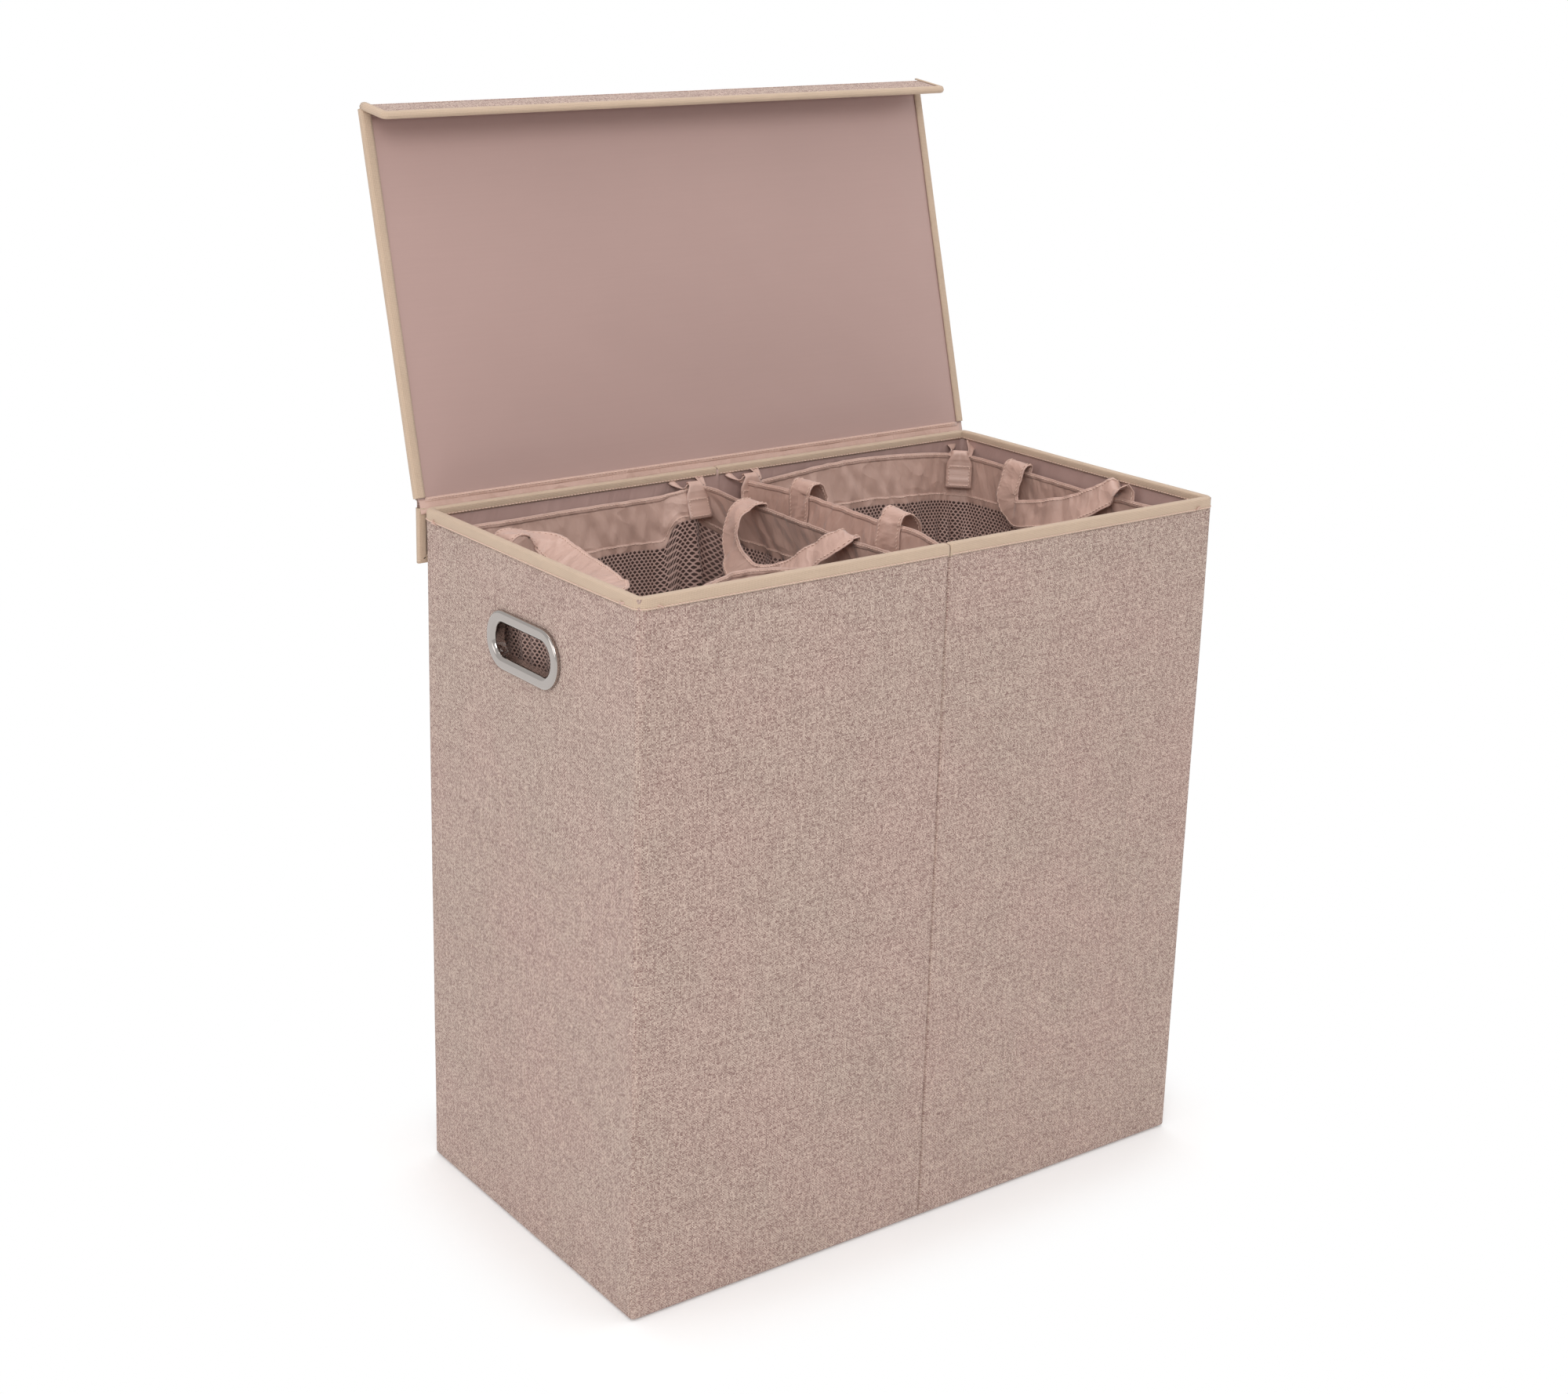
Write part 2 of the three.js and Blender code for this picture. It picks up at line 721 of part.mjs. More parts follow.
// The four hanging places of a bag: middle of the band's wall, and the way outwards
const flatMiddle = flatLeg / 2;
const hangers = [
  { end: 'front_inner', x: bagX0 + tabFromBagEnd, y: -bagHalfWidth, outward: -90 },
  { end: 'back_inner', x: bagX0 + tabFromBagEnd, y: bagHalfWidth, outward: 90 },
  { end: 'front_outer', x: bagX1 - flatMiddle, y: -bagHalfWidth + flatMiddle, outward: -45 },
  { end: 'back_outer', x: bagX1 - flatMiddle, y: bagHalfWidth - flatMiddle, outward: 45 },
];

// Group at a hanging place, whose +Y points outwards and whose origin is the line along
// the middle of the band's top edge on which the tab's rounded root turns
function hangerGroup(parent, hanger) {
  const turn = THREE.MathUtils.degToRad(hanger.outward - 90);
  const out = THREE.MathUtils.degToRad(hanger.outward);
  const place = new THREE.Group();
  place.position.set(
    hanger.x - (Math.cos(out) * bagBandThickness) / 2,
    hanger.y - (Math.sin(out) * bagBandThickness) / 2,
    bagTop + clearance + tabThickness / 2
  );
  place.rotation.z = turn;
  parent.add(place);
  place.updateMatrix();
  return place;
}

const tabMiddleRadius = tabFoldRadius + tabThickness / 2;
const flapBack = -2 * tabMiddleRadius + tabThickness / 2;

// Folded tab: over the ribbon and down the inner face of the band, with its hook patch
function tab() {
  const outerRadius = tabFoldRadius + tabThickness;
  const halfCircle = (middle, radius) => {
    const points = [];
    for (let step = 0; step <= foldSteps; step += 1) {
      const angle = (Math.PI * step) / foldSteps;
      points.push([middle + radius * Math.cos(angle), radius * Math.sin(angle)]);
    }
    return points;
  };
  const root = halfCircle(0, -tabThickness / 2).slice(1, -1);
  const patchFace = flapBack + tabPatchThickness;
  const profile = [
    ...halfCircle(-tabMiddleRadius, outerRadius),
    [flapBack - tabThickness, -tabLength],
    [patchFace, -tabLength],
    [patchFace, -tabLength + tabPatchHeight],
    [flapBack, -tabLength + tabPatchHeight],
    ...halfCircle(-tabMiddleRadius, tabFoldRadius).reverse(),
    ...root,
  ];
  const strip = alongX(profile, -tabWidth / 2, tabWidth / 2);
  const [fold, full] = [tabFoldWidth / 2, tabWidth / 2];
  const face = new THREE.Shape([
    new THREE.Vector2(-full, -tabLength - cutOverrun),
    new THREE.Vector2(full, -tabLength - cutOverrun),
    new THREE.Vector2(full, -tabShoulder),
    new THREE.Vector2(fold, 0),
    new THREE.Vector2(fold, outerRadius + cutOverrun),
    new THREE.Vector2(-fold, outerRadius + cutOverrun),
    new THREE.Vector2(-fold, 0),
    new THREE.Vector2(-full, -tabShoulder),
  ]);
  const deep = 2 * (tabMiddleRadius + tabPatchThickness + cutOverrun);
  const waist = new THREE.ExtrudeGeometry(face, { depth: deep, bevelEnabled: false });
  waist.translate(0, 0, -deep / 2).rotateX(Math.PI / 2);
  return common(strip, waist);
}

// Space inside the walls, under the rim binding, in which the ribbons must stay
const ribbonRoom = prism(
  boxCorners,
  -liningBack - clearance,
  bandBottom,
  boxHeight - rimTapeLeg - clearance
);

// Ribbon loop hung from the rim: two legs and the bar between them that the tab holds
function ribbonLoop(place) {
  const half = ribbonThickness / 2;
  const barTop = tabFoldRadius - 2 * clearance;
  const reach = (bagWallGap + bagCornerFlat) * Math.SQRT1_2;
  const rise = reach * Math.tan(THREE.MathUtils.degToRad(ribbonLean));
  const y = -tabMiddleRadius;
  const profile = [
    [y - half, barTop - ribbonBarHeight],
    [y + half, barTop - ribbonBarHeight],
    [y + half, barTop],
    [y + half + reach, barTop + rise],
    [y + half + reach, barTop + rise + 2 * half],
    [y + half, barTop + 2 * half],
    [y - half, barTop + half],
  ];
  const width = ribbonOpening / 2 + ribbonWidth;
  const wide = alongX(profile, -width, width);
  const opening = block(
    -ribbonOpening / 2,
    ribbonOpening / 2,
    y - half - cutOverrun,
    y + reach + cutOverrun,
    barTop,
    barTop + rise + cutOverrun
  );
  const besideBar = [-1, 1].map((side) => {
    const [near, far] = [(side * ribbonOpening) / 2, side * (width + cutOverrun)];
    const [x0, x1] = [Math.min(near, far), Math.max(near, far)];
    return block(x0, x1, y - cutOverrun, y + cutOverrun, barTop - ribbonBarHeight - cutOverrun, 0);
  });
  const room = ribbonRoom.clone().applyMatrix4(place.matrix.clone().invert());
  return common(cut(wide, opening, ...besideBar), room);
}

// Band round a bag's mouth, with the sewn ends of its straps and its loop patches
function bagBand() {
  const ring = frameSolid(bagOutline(0), [
    [0, bagTop],
    [0, bandBottom],
    [-bagBandThickness, bandBottom],
    [-bagBandThickness, bagTop],
  ]);
  const ends = [];
  for (const [x, outward] of [[bagX0, -1], [bagX1, 1]]) {
    const face = x + outward * strapEndThickness;
    const [x0, x1] = [Math.min(face, x), Math.max(face, x)];
    const sunk = (bagBandThickness / 2) * outward;
    for (const y of [-strapSpacing / 2, strapSpacing / 2]) {
      const [y0, y1] = [y - strapWidth / 2, y + strapWidth / 2];
      const low = bagTop - strapEndHeight;
      ends.push(block(x0 - Math.max(sunk, 0), x1 - Math.min(sunk, 0), y0, y1, low, bagTop));
    }
  }
  const patches = hangers.map((hanger) => {
    const place = hangerGroup(new THREE.Group(), hanger);
    const face = -bagBandThickness / 2;
    const patch = block(
      -tabWidth / 2 + clearance,
      tabWidth / 2 - clearance,
      face - bandPatchThickness,
      face + bagBandThickness / 2,
      -tabLength,
      -tabLength + tabPatchHeight
    );
    return patch.applyMatrix4(place.matrix);
  });
  return join(ring, ...ends, ...patches);
}

// Open-topped net bag under the band, drawn in towards its rounded floor
function bagNet() {
  const outside = [[0, bandBottom - clearance]];
  const inside = [[bagMeshThickness, bandBottom - clearance]];
  const innerRadius = bagBottomRadius - bagMeshThickness;
  for (let step = 0; step <= cornerSteps; step += 1) {
    const angle = (Math.PI / 2) * (step / cornerSteps);
    const [across, down] = [1 - Math.cos(angle), Math.sin(angle)];
    const z = bagFloor + bagBottomRadius;
    outside.push([bagTaper + bagBottomRadius * across, z - bagBottomRadius * down]);
    inside.push([bagTaper + bagMeshThickness + innerRadius * across, z - innerRadius * down]);
  }
  const rings = [...outside.reverse(), ...inside];
  return loft(rings.map(([inward, z]) => levelRing(bagOutline(inward), 0, z)));
}

// Arch of webbing lying in its own plane: its legs start on the hinge line, y = 0
function strap() {
  const outerHalf = (strapSpacing + strapWidth) / 2;
  const innerHalf = (strapSpacing - strapWidth) / 2;
  const shape = new THREE.Shape();
  shape.moveTo(outerHalf, 0);
  shape.lineTo(outerHalf, strapLegRise);
  shape.absellipse(0, strapLegRise, outerHalf, strapRise - strapLegRise, 0, Math.PI, false);
  shape.lineTo(-outerHalf, 0);
  shape.lineTo(-innerHalf, 0);
  shape.lineTo(-innerHalf, strapLegRise);
  const crown = strapRise - strapLegRise - strapCrownWidth;
  shape.absellipse(0, strapLegRise, innerHalf, crown, Math.PI, 0, true);
  shape.lineTo(innerHalf, 0);
  const options = { depth: strapThickness, bevelEnabled: false, curveSegments: strapSteps };
  const plate = new THREE.ExtrudeGeometry(shape, options);
  return plate.translate(0, 0, -strapThickness / 2);
}

for (const [side, name] of [[-1, 'left'], [1, 'right']]) {
  const half = new THREE.Group();
  half.rotation.z = side > 0 ? 0 : Math.PI;
  hamper.add(half);
  half.updateMatrix();
  addPiece(half, `bag_band_${name}`, bagBand(), 'polyester');
  addPiece(half, `bag_net_${name}`, bagNet(), 'mesh');

  for (const [x, inward, which] of [
    [bagX0 + bagBandThickness / 2, 1, 'inner'],
    [bagX1 - bagBandThickness / 2, -1, 'outer'],
  ]) {
    const pivot = new THREE.Group();
    pivot.position.set(x, 0, bagTop + clearance + strapThickness / 2);
    pivot.rotation.y = inward * THREE.MathUtils.degToRad(strapFlopAngle);
    half.add(pivot);
    const arch = strap().applyMatrix4(facingX);
    addPiece(pivot, `strap_${name}_${which}`, arch, 'polyester');
  }

  for (const hanger of hangers) {
    const place = hangerGroup(half, hanger);
    const swapped = side > 0 ? hanger.end : hanger.end.replace(/front|back/, (word) =>
      word === 'front' ? 'back' : 'front'
    );
    addPiece(place, `tab_${name}_${swapped}`, tab(), 'polyester');
    addPiece(place, `ribbon_${name}_${swapped}`, ribbonLoop(place), 'polyester');
  }
}

export default hamper;
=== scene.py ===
"""Looks of a laundry hamper with two lift-out bags: cloth, tape, net, metal grips and a pale studio."""
import json
import math

import bmesh
import bpy
from bpy.props import FloatProperty, FloatVectorProperty, PointerProperty
from mathutils import Matrix, Vector, noise


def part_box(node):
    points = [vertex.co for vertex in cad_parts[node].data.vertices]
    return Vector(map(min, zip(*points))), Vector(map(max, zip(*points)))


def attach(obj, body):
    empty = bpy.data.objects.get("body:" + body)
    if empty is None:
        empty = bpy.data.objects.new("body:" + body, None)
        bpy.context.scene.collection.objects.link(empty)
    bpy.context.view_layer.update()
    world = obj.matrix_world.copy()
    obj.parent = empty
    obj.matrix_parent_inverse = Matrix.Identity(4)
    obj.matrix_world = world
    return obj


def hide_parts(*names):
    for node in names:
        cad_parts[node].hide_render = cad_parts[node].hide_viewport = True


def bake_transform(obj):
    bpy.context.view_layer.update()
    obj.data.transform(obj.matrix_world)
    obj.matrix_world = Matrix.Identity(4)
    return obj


bl_info = {
    "name": "Laundry hamper",
    "version": (1, 0, 0),
    "blender": (4, 5, 0),
    "location": "3D View > Sidebar > Hamper",
    "description": "Dresses a folding hamper with cloth, tape, net bags and metal grips",
    "category": "Object",
}

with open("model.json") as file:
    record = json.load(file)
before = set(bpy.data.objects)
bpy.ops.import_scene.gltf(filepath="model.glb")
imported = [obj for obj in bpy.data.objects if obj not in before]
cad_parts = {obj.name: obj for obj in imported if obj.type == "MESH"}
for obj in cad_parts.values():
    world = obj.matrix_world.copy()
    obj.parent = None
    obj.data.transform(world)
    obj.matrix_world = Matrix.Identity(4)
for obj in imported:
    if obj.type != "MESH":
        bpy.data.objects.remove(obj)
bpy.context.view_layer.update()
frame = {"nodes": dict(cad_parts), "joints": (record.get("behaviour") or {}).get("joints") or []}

MM = 0.001
joint_of = {joint["name"]: joint for joint in frame["joints"]}


def box_mm(*nodes):
    """Lowest and highest corner of some CAD nodes, in millimetres."""
    corners = [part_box(node) for node in nodes]
    low = Vector([min(c[0][i] for c in corners) for i in range(3)]) / MM
    high = Vector([max(c[1][i] for c in corners) for i in range(3)]) / MM
    return low, high


# Places in millimetres, read from the frame
cover_low, cover_high = box_mm("outer_cover")
rim_low, rim_high = box_mm("rim_binding_left", "rim_binding_right")
inside_low, inside_high = box_mm("lining")
band_low, band_high = box_mm("bag_band_right")
net_low, net_high = box_mm("bag_net_right")
strip_low, strip_high = box_mm("strip_binding")
strip_cover_low, strip_cover_high = box_mm("strip_cover")
grip_low, grip_high = box_mm("grip_ring_right")
grip_back_low, grip_back_high = box_mm("grip_back_ring_right")
base_low, base_high = box_mm("base_cloth")
lid_width_low, lid_width_high = box_mm("lid_binding_left", "lid_binding_right")
hinge_at = Vector(joint_of["lid_hinge"]["pos_m"]) / MM
lip_at = Vector(joint_of["lip_fold"]["pos_m"]) / MM
open_angle = math.radians(-joint_of["lid_hinge"]["range_deg"][0])
lid_length = (lip_at - hinge_at).length

# Sizes in millimetres that the frame does not hold
corner_radius = 4
rim_corner_radius = 8
lining_corner_radius = 5
lining_wall = 0.6
cloth_wall = 1
thin_cloth_wall = 0.5
fold_cloth_wall = 0.8
tape_wall = 1
tape_roll = 1.4
stitch_inset = 1.3
seam_trim = 2
crease_half_width = 1.7
crease_depth = 2.4
back_rise = 1.4
grip_flange = 11
grip_cut_margin = 4.5
grip_fine_reach = 34
lip_rest_angle = math.radians(67)
lip_reach = 44
lip_corner_radius = 6
bag_middle = 150


class HamperSizes(bpy.types.PropertyGroup):
    weave_pitch: FloatProperty(
        name="Weave pitch", description="Width of one thread of the outer cloth",
        default=0.0012, min=0.0003, max=0.005, precision=4, unit="LENGTH")
    net_pitch: FloatProperty(
        name="Net pitch", description="Distance between the middles of the net's holes",
        default=0.0046, min=0.001, max=0.01, precision=4, unit="LENGTH")
    stitch_pitch: FloatProperty(
        name="Stitch pitch", description="Length of one stitch with its gap",
        default=0.0034, min=0.001, max=0.01, precision=4, unit="LENGTH")
    thread_radius: FloatProperty(
        name="Thread radius", description="Radius of the sewing thread",
        default=0.0004, min=0.0001, max=0.001, precision=5, unit="LENGTH")
    wrinkle: FloatProperty(
        name="Wrinkle height", description="Height of the wrinkles in the lining and the bags",
        default=0.0014, min=0, max=0.005, precision=4, unit="LENGTH")


def colour_property(name, description, default):
    return FloatVectorProperty(
        name=name, description=description, default=default,
        size=3, min=0, max=1, subtype="COLOR")


class HamperColours(bpy.types.PropertyGroup):
    linen_pale: colour_property("Pale thread", "Lighter thread of the outer cloth", (0.72, 0.57, 0.48))
    linen_rosy: colour_property("Rosy thread", "Darker thread of the outer cloth", (0.27, 0.16, 0.14))
    lining: colour_property("Lining", "Smooth lining of the walls and the lid", (0.43, 0.285, 0.255))
    tape: colour_property("Binding tape", "Tape on all the edges", (0.585, 0.435, 0.32))
    polyester: colour_property("Bag cloth", "Bands, straps, tabs and ribbons", (0.56, 0.365, 0.3))
    net: colour_property("Net", "Knitted net of the bags", (0.53, 0.35, 0.3))
    thread: colour_property("Sewing thread", "Thread of all the seams", (0.7, 0.49, 0.4))
    metal: colour_property("Grip metal", "Plated metal of the grips", (0.46, 0.42, 0.395))
    board: colour_property("Board", "Stiffening board inside the walls", (0.38, 0.28, 0.16))


def sizes():
    return bpy.context.scene.hamper_sizes


def colours():
    return bpy.context.scene.hamper_colours


# Shader maths


class Signal:
    """The value of a socket. Python's operators on it add Math nodes."""

    def __init__(self, finish, socket):
        self.finish = finish
        self.socket = socket

    def math(self, operation, *others):
        return self.finish.node("ShaderNodeMath", {"operation": operation}, dict(enumerate((self, *others))))

    def __add__(self, other): return self.math("ADD", other)
    def __radd__(self, other): return self.math("ADD", other)
    def __sub__(self, other): return self.math("SUBTRACT", other)
    def __rsub__(self, other): return self.finish.value(other, "SUBTRACT", self)
    def __mul__(self, other): return self.math("MULTIPLY", other)
    def __rmul__(self, other): return self.math("MULTIPLY", other)
    def __truediv__(self, other): return self.math("DIVIDE", other)
    def __gt__(self, other): return self.math("GREATER_THAN", other)
    def __abs__(self): return self.math("ABSOLUTE")


class Finish:
    """A material and the nodes that make it."""

    def __init__(self, name):
        self.material = bpy.data.materials.new(name)
        self.material.use_nodes = True
        self.tree = self.material.node_tree
        self.tree.nodes.clear()
        self.shader = self.tree.nodes.new("ShaderNodeBsdfPrincipled")
        output = self.tree.nodes.new("ShaderNodeOutputMaterial")
        self.tree.links.new(self.shader.outputs[0], output.inputs["Surface"])

    def fill(self, node, sockets):
        for key, value in sockets.items():
            if isinstance(value, Signal):
                self.tree.links.new(value.socket, node.inputs[key])
            else:
                node.inputs[key].default_value = value

    def node(self, kind, settings, sockets, output=0):
        """Any node: first its settings, then the values or links of its sockets."""
        node = self.tree.nodes.new(kind)
        for key, value in settings.items():
            setattr(node, key, value)
        self.fill(node, sockets)
        return Signal(self, node.outputs[output])

    def value(self, first, operation, *others):
        return self.node("ShaderNodeMath", {"operation": operation}, dict(enumerate((first, *others))))

    def surface(self, **sockets):
        """Fills the shader's sockets, whose names have _ for a space here."""
        self.fill(self.shader, {key.replace("_", " "): value for key, value in sockets.items()})
        return self.material

    def two_colours(self, way, factor, *pair):
        """One colour from two, each a signal or plain numbers."""
        first, second = (each if isinstance(each, Signal) else (*each, 1) for each in pair)
        return self.node("ShaderNodeMix", {"data_type": "RGBA", "blend_type": way},
                         {0: factor, 6: first, 7: second}, 2)

    def mix(self, factor, first, second):
        """A colour between two colours."""
        return self.two_colours("MIX", factor, first, second)

    def times(self, first, second):
        """One colour multiplied by another."""
        return self.two_colours("MULTIPLY", 1.0, first, second)

    def tint(self, colour, amount):
        """A colour made lighter or darker by a factor."""
        return self.times(colour, self.node("ShaderNodeCombineColor", {}, {0: amount, 1: amount, 2: amount}))

    def smooth(self, value, low, high):
        """0 below low, 1 above high, and a smooth step between them."""
        return self.node("ShaderNodeMapRange", {"interpolation_type": "SMOOTHSTEP"},
                         {0: value, 1: low, 2: high})

    def between(self, value, low, high):
        """A value from 0 to 1, spread over another range."""
        return self.node("ShaderNodeMapRange", {}, {0: value, 1: 0.0, 2: 1.0, 3: low, 4: high})

    def noise(self, vector, scale, detail=2.0, roughness=0.5):
        return self.node("ShaderNodeTexNoise", {},
                         {"Vector": vector, "Scale": scale, "Detail": detail, "Roughness": roughness})

    def vector(self, x, y, z=0.0):
        return self.node("ShaderNodeCombineXYZ", {}, {0: x, 1: y, 2: z})

    def cloth_place(self):
        """Place on the flat cloth, in metres: a vector and its two parts."""
        flat = self.node("ShaderNodeUVMap", {"uv_map": "cloth"}, {})
        return flat, *self.parts(flat)[:2]

    def parts(self, vector):
        split = self.node("ShaderNodeSeparateXYZ", {}, {0: vector}).socket.node
        return [Signal(self, split.outputs[i]) for i in range(3)]

    def object_place(self):
        return self.node("ShaderNodeTexCoord", {}, {}, 3)

    def bump(self, height, distance, strength=1.0):
        return self.node("ShaderNodeBump", {}, {"Height": height, "Distance": distance, "Strength": strength})

    def weave(self, across, along, pitch):
        """Plain weave: the height of the threads, and 1 where the upright thread is on top."""
        warp = self.value(across / pitch * math.pi, "SINE")
        weft = self.value(along / pitch * math.pi, "SINE")
        crossing = warp.math("SIGN") * weft.math("SIGN")
        warp_height = abs(warp) * (0.7 + crossing * abs(weft) * 0.3)
        weft_height = abs(weft) * (0.7 - crossing * abs(warp) * 0.3)
        return warp_height.math("MAXIMUM", weft_height), warp_height > weft_height


finishes = {}


def finish(name):
    """The material of a finish, made once."""
    if name not in finishes:
        finishes[name] = makers[name]()
    return finishes[name]


def linen():
    """Coarse plain weave: paler weft over rosier warp, each thread with its own tone along its length, and painted
    light and shade across the weave.
    """
    made = Finish("linen")
    flat, across, along = made.cloth_place()
    pitch = sizes().weave_pitch
    tone_length, upright_length, level_length = 0.03, 0.045, 0.05
    waver = made.noise(flat, 22.0, 1.0) - 0.5
    across, along = across + waver * pitch * 0.8, along + waver * pitch * 0.7
    height, warp_on_top = made.weave(across, along, pitch)
    warp_thread, weft_thread = ((way / pitch).math("FLOOR") for way in (across, along))
    # The odd factors give each thread its own place in the noise
    warp_tone = made.noise(made.vector(warp_thread * 7.31, along / tone_length), 1.0, 1.0, 0.4)
    weft_tone = made.noise(made.vector(across / tone_length, weft_thread * 5.17, 7.3), 1.0, 1.0, 0.4)
    grain = made.noise(made.vector(warp_thread * 3.7, weft_thread * 4.3, 2.0), 1.0, 0.0)
    pale, rosy = colours().linen_pale, colours().linen_rosy
    warp_colour = made.mix(made.smooth(warp_tone * 0.35 + grain, 0.25, 0.97), pale, rosy)
    weft_colour = made.mix(made.smooth(weft_tone * 0.3 + grain, 0.38, 1.1), pale, rosy)
    threads = made.mix(warp_on_top, weft_colour, warp_colour)
    upright = made.noise(made.vector(warp_thread * 7.45, along / upright_length, 4.1), 1.0, 2.0)
    level = made.noise(made.vector(across / level_length, weft_thread * 6.45, 8.8), 1.0, 2.0)
    # Painted light and shade: lighter on top of the threads and darker low between them; the other two factors are
    # the threads' own tone
    tone = made.between(height, 0.5, 1.12) * made.between(upright, 0.88, 1.12) * made.between(level, 0.92, 1.08)
    broad = made.smooth(made.noise(flat, 9.0, 3.0), 0.3, 0.7)
    hue = made.mix(broad, (0.985, 0.945, 0.955), (0.955, 0.955, 0.95))
    return made.surface(Base_Color=made.times(made.tint(threads, tone), hue), Roughness=0.9,
                        Specular_IOR_Level=0.25, Sheen_Weight=0.12, Normal=made.bump(height, 0.0005, 0.8))


def lining(name="lining", gathered=0.0):
    """Smooth thin lining with a soft sheen, a fine weave and faint clouding. On the walls it is gathered."""
    made = Finish(name)
    flat, across, along = made.cloth_place()
    height, _ = made.weave(across, along, 0.0005)
    cloud = made.noise(flat, 6.0, 3.0)
    streak = made.noise(made.vector(across * 12.0, along * 500.0), 1.0, 2.0)
    tone = made.between(cloud, 0.96, 1.04) * made.between(streak, 0.98, 1.02)
    crumple = made.noise(made.vector(across * 20.0, along * 11.0), 1.0, 2.0)
    pucker = made.noise(made.vector((across + along * 0.35) * 85.0, along * 11.0, 3.0), 1.0, 2.0, 0.45)
    high_up = made.smooth(along, 0.46, 0.6)
    relief = height * 0.04 + crumple * (0.5 - gathered * 0.3) + pucker * high_up * gathered * 2.2
    return made.surface(
        Base_Color=made.tint(colours().lining, tone), Roughness=made.between(cloud, 0.36, 0.46),
        Specular_IOR_Level=0.4, Sheen_Weight=0.15, Sheen_Roughness=0.4, Normal=made.bump(relief, 0.0014, 0.7))


def wall_lining():
    """The lining of the walls, gathered under the rim."""
    return lining("wall_lining", 1.0)


def polyester():
    """Thin satin cloth of the bags, with a fine weave and sharp little creases."""
    made = Finish("polyester")
    flat, across, along = made.cloth_place()
    height, _ = made.weave(across, along, 0.00045)
    slant = across + along * 0.3
    crease = 0.5 - abs(made.noise(made.vector(slant * 62.0, along * 24.0), 1.0, 2.0, 0.5) - 0.5) * 2.4
    fold = 0.5 - abs(made.noise(made.vector(slant * 24.0, along * 30.0, 5.0), 1.0, 1.0, 0.4) - 0.5) * 2.2
    pucker = made.noise(made.vector(across * 150.0, along * 40.0), 1.0, 2.0, 0.5)
    cloud = made.noise(flat, 14.0, 2.0)
    relief = height * 0.03 + crease * 0.55 + fold * 1.1 + pucker * 0.3
    return made.surface(
        Base_Color=made.tint(colours().polyester, made.between(cloud, 0.93, 1.06)),
        Roughness=made.between(pucker, 0.3, 0.44), Specular_IOR_Level=0.6,
        Sheen_Weight=0.25, Sheen_Roughness=0.35, Normal=made.bump(relief, 0.0034, 0.8))


def tape():
    """Binding tape with fine ribs along and across it, and painted light and shade across the weave."""
    made = Finish("tape")
    flat, across, along = made.cloth_place()
    height, _ = made.weave(across, along, 0.001)
    cloud = made.noise(made.vector(across * 40.0, along * 160.0), 1.0, 3.0)
    # Painted light and shade: lighter on top of the threads and darker low between them, besides the tape's own
    # clouding
    tone = made.between(cloud, 0.9, 1.06) * made.between(height, 0.72, 1.1)
    return made.surface(Base_Color=made.tint(colours().tape, tone), Roughness=0.85,
                        Specular_IOR_Level=0.3, Sheen_Weight=0.15, Normal=made.bump(height, 0.0004, 0.8))


def net():
    """Knitted net with six-sided holes. The holes are filled with a dark painted shade, partly opaque, that stands in
    for the shade inside the bag.
    """
    made = Finish("net")
    flat, across, along = made.cloth_place()
    pitch = sizes().net_pitch
    rise = 1.32
    knit_pitch = 0.0009
    # Dark painted shade that fills the holes, in place of the shade inside the bag
    painted_hole_shade = (0.05, 0.026, 0.02)

    def to_hole(shift):
        x = (across / pitch + shift).math("FRACT") - 0.5
        y = ((along / (pitch * rise) + shift).math("FRACT") - 0.5) * rise
        return abs(x).math("MAXIMUM", abs(x) * 0.7 + abs(y) * 0.985)

    distance = to_hole(0.25).math("MINIMUM", to_hole(0.75))
    solid = made.smooth(distance, 0.31, 0.36)
    knit = made.value(along / knit_pitch * math.tau, "SINE")
    tone = made.between(made.noise(flat, 30.0, 2.0), 0.85, 1.1)
    # Painted shade: the holes keep a dark colour and stay partly opaque
    colour = made.mix(solid, painted_hole_shade, made.tint(colours().net, tone))
    return made.surface(Base_Color=colour, Roughness=0.62, Alpha=made.between(solid, 0.6, 1.0),
                        Sheen_Weight=0.2, Normal=made.bump(distance + knit * 0.05, 0.0007, 0.6))


def sewing_thread():
    """Twisted thread of the seams."""
    made = Finish("sewing_thread")
    twist = made.noise(made.object_place(), 2400.0, 1.0)
    return made.surface(Base_Color=made.tint(colours().thread, made.between(twist, 0.86, 1.08)),
                        Roughness=0.6, Sheen_Weight=0.2, Normal=made.bump(twist, 0.0001, 0.5))


def grip_metal():
    """Plated steel with a faint brushed haze and finger marks."""
    made = Finish("grip_metal")
    marks = made.noise(made.object_place(), 60.0, 4.0, 0.65)
    return made.surface(Base_Color=made.tint(colours().metal, made.between(marks, 0.97, 1.03)),
                        Metallic=1.0, Roughness=made.between(marks, 0.07, 0.14))


def grey_board():
    """Plain board with a fine fibre."""
    made = Finish("grey_board")
    fibre = made.noise(made.object_place(), 420.0, 4.0, 0.7)
    return made.surface(Base_Color=made.tint(colours().board, made.between(fibre, 0.8, 1.15)),
                        Roughness=0.95, Normal=made.bump(fibre, 0.0004, 0.6))


def board_cloth():
    """Lining that covers the loose board in the bottom, on a CAD node without a cloth map."""
    made = Finish("board_cloth")
    place = made.object_place()
    x, y, _ = made.parts(place)
    height, _ = made.weave(x, y, 0.0006)
    cloud = made.noise(place, 9.0, 3.0)
    return made.surface(Base_Color=made.tint(colours().lining, made.between(cloud, 0.92, 1.06)),
                        Roughness=0.55, Sheen_Weight=0.2, Normal=made.bump(height * 0.1 + cloud, 0.0012, 0.5))


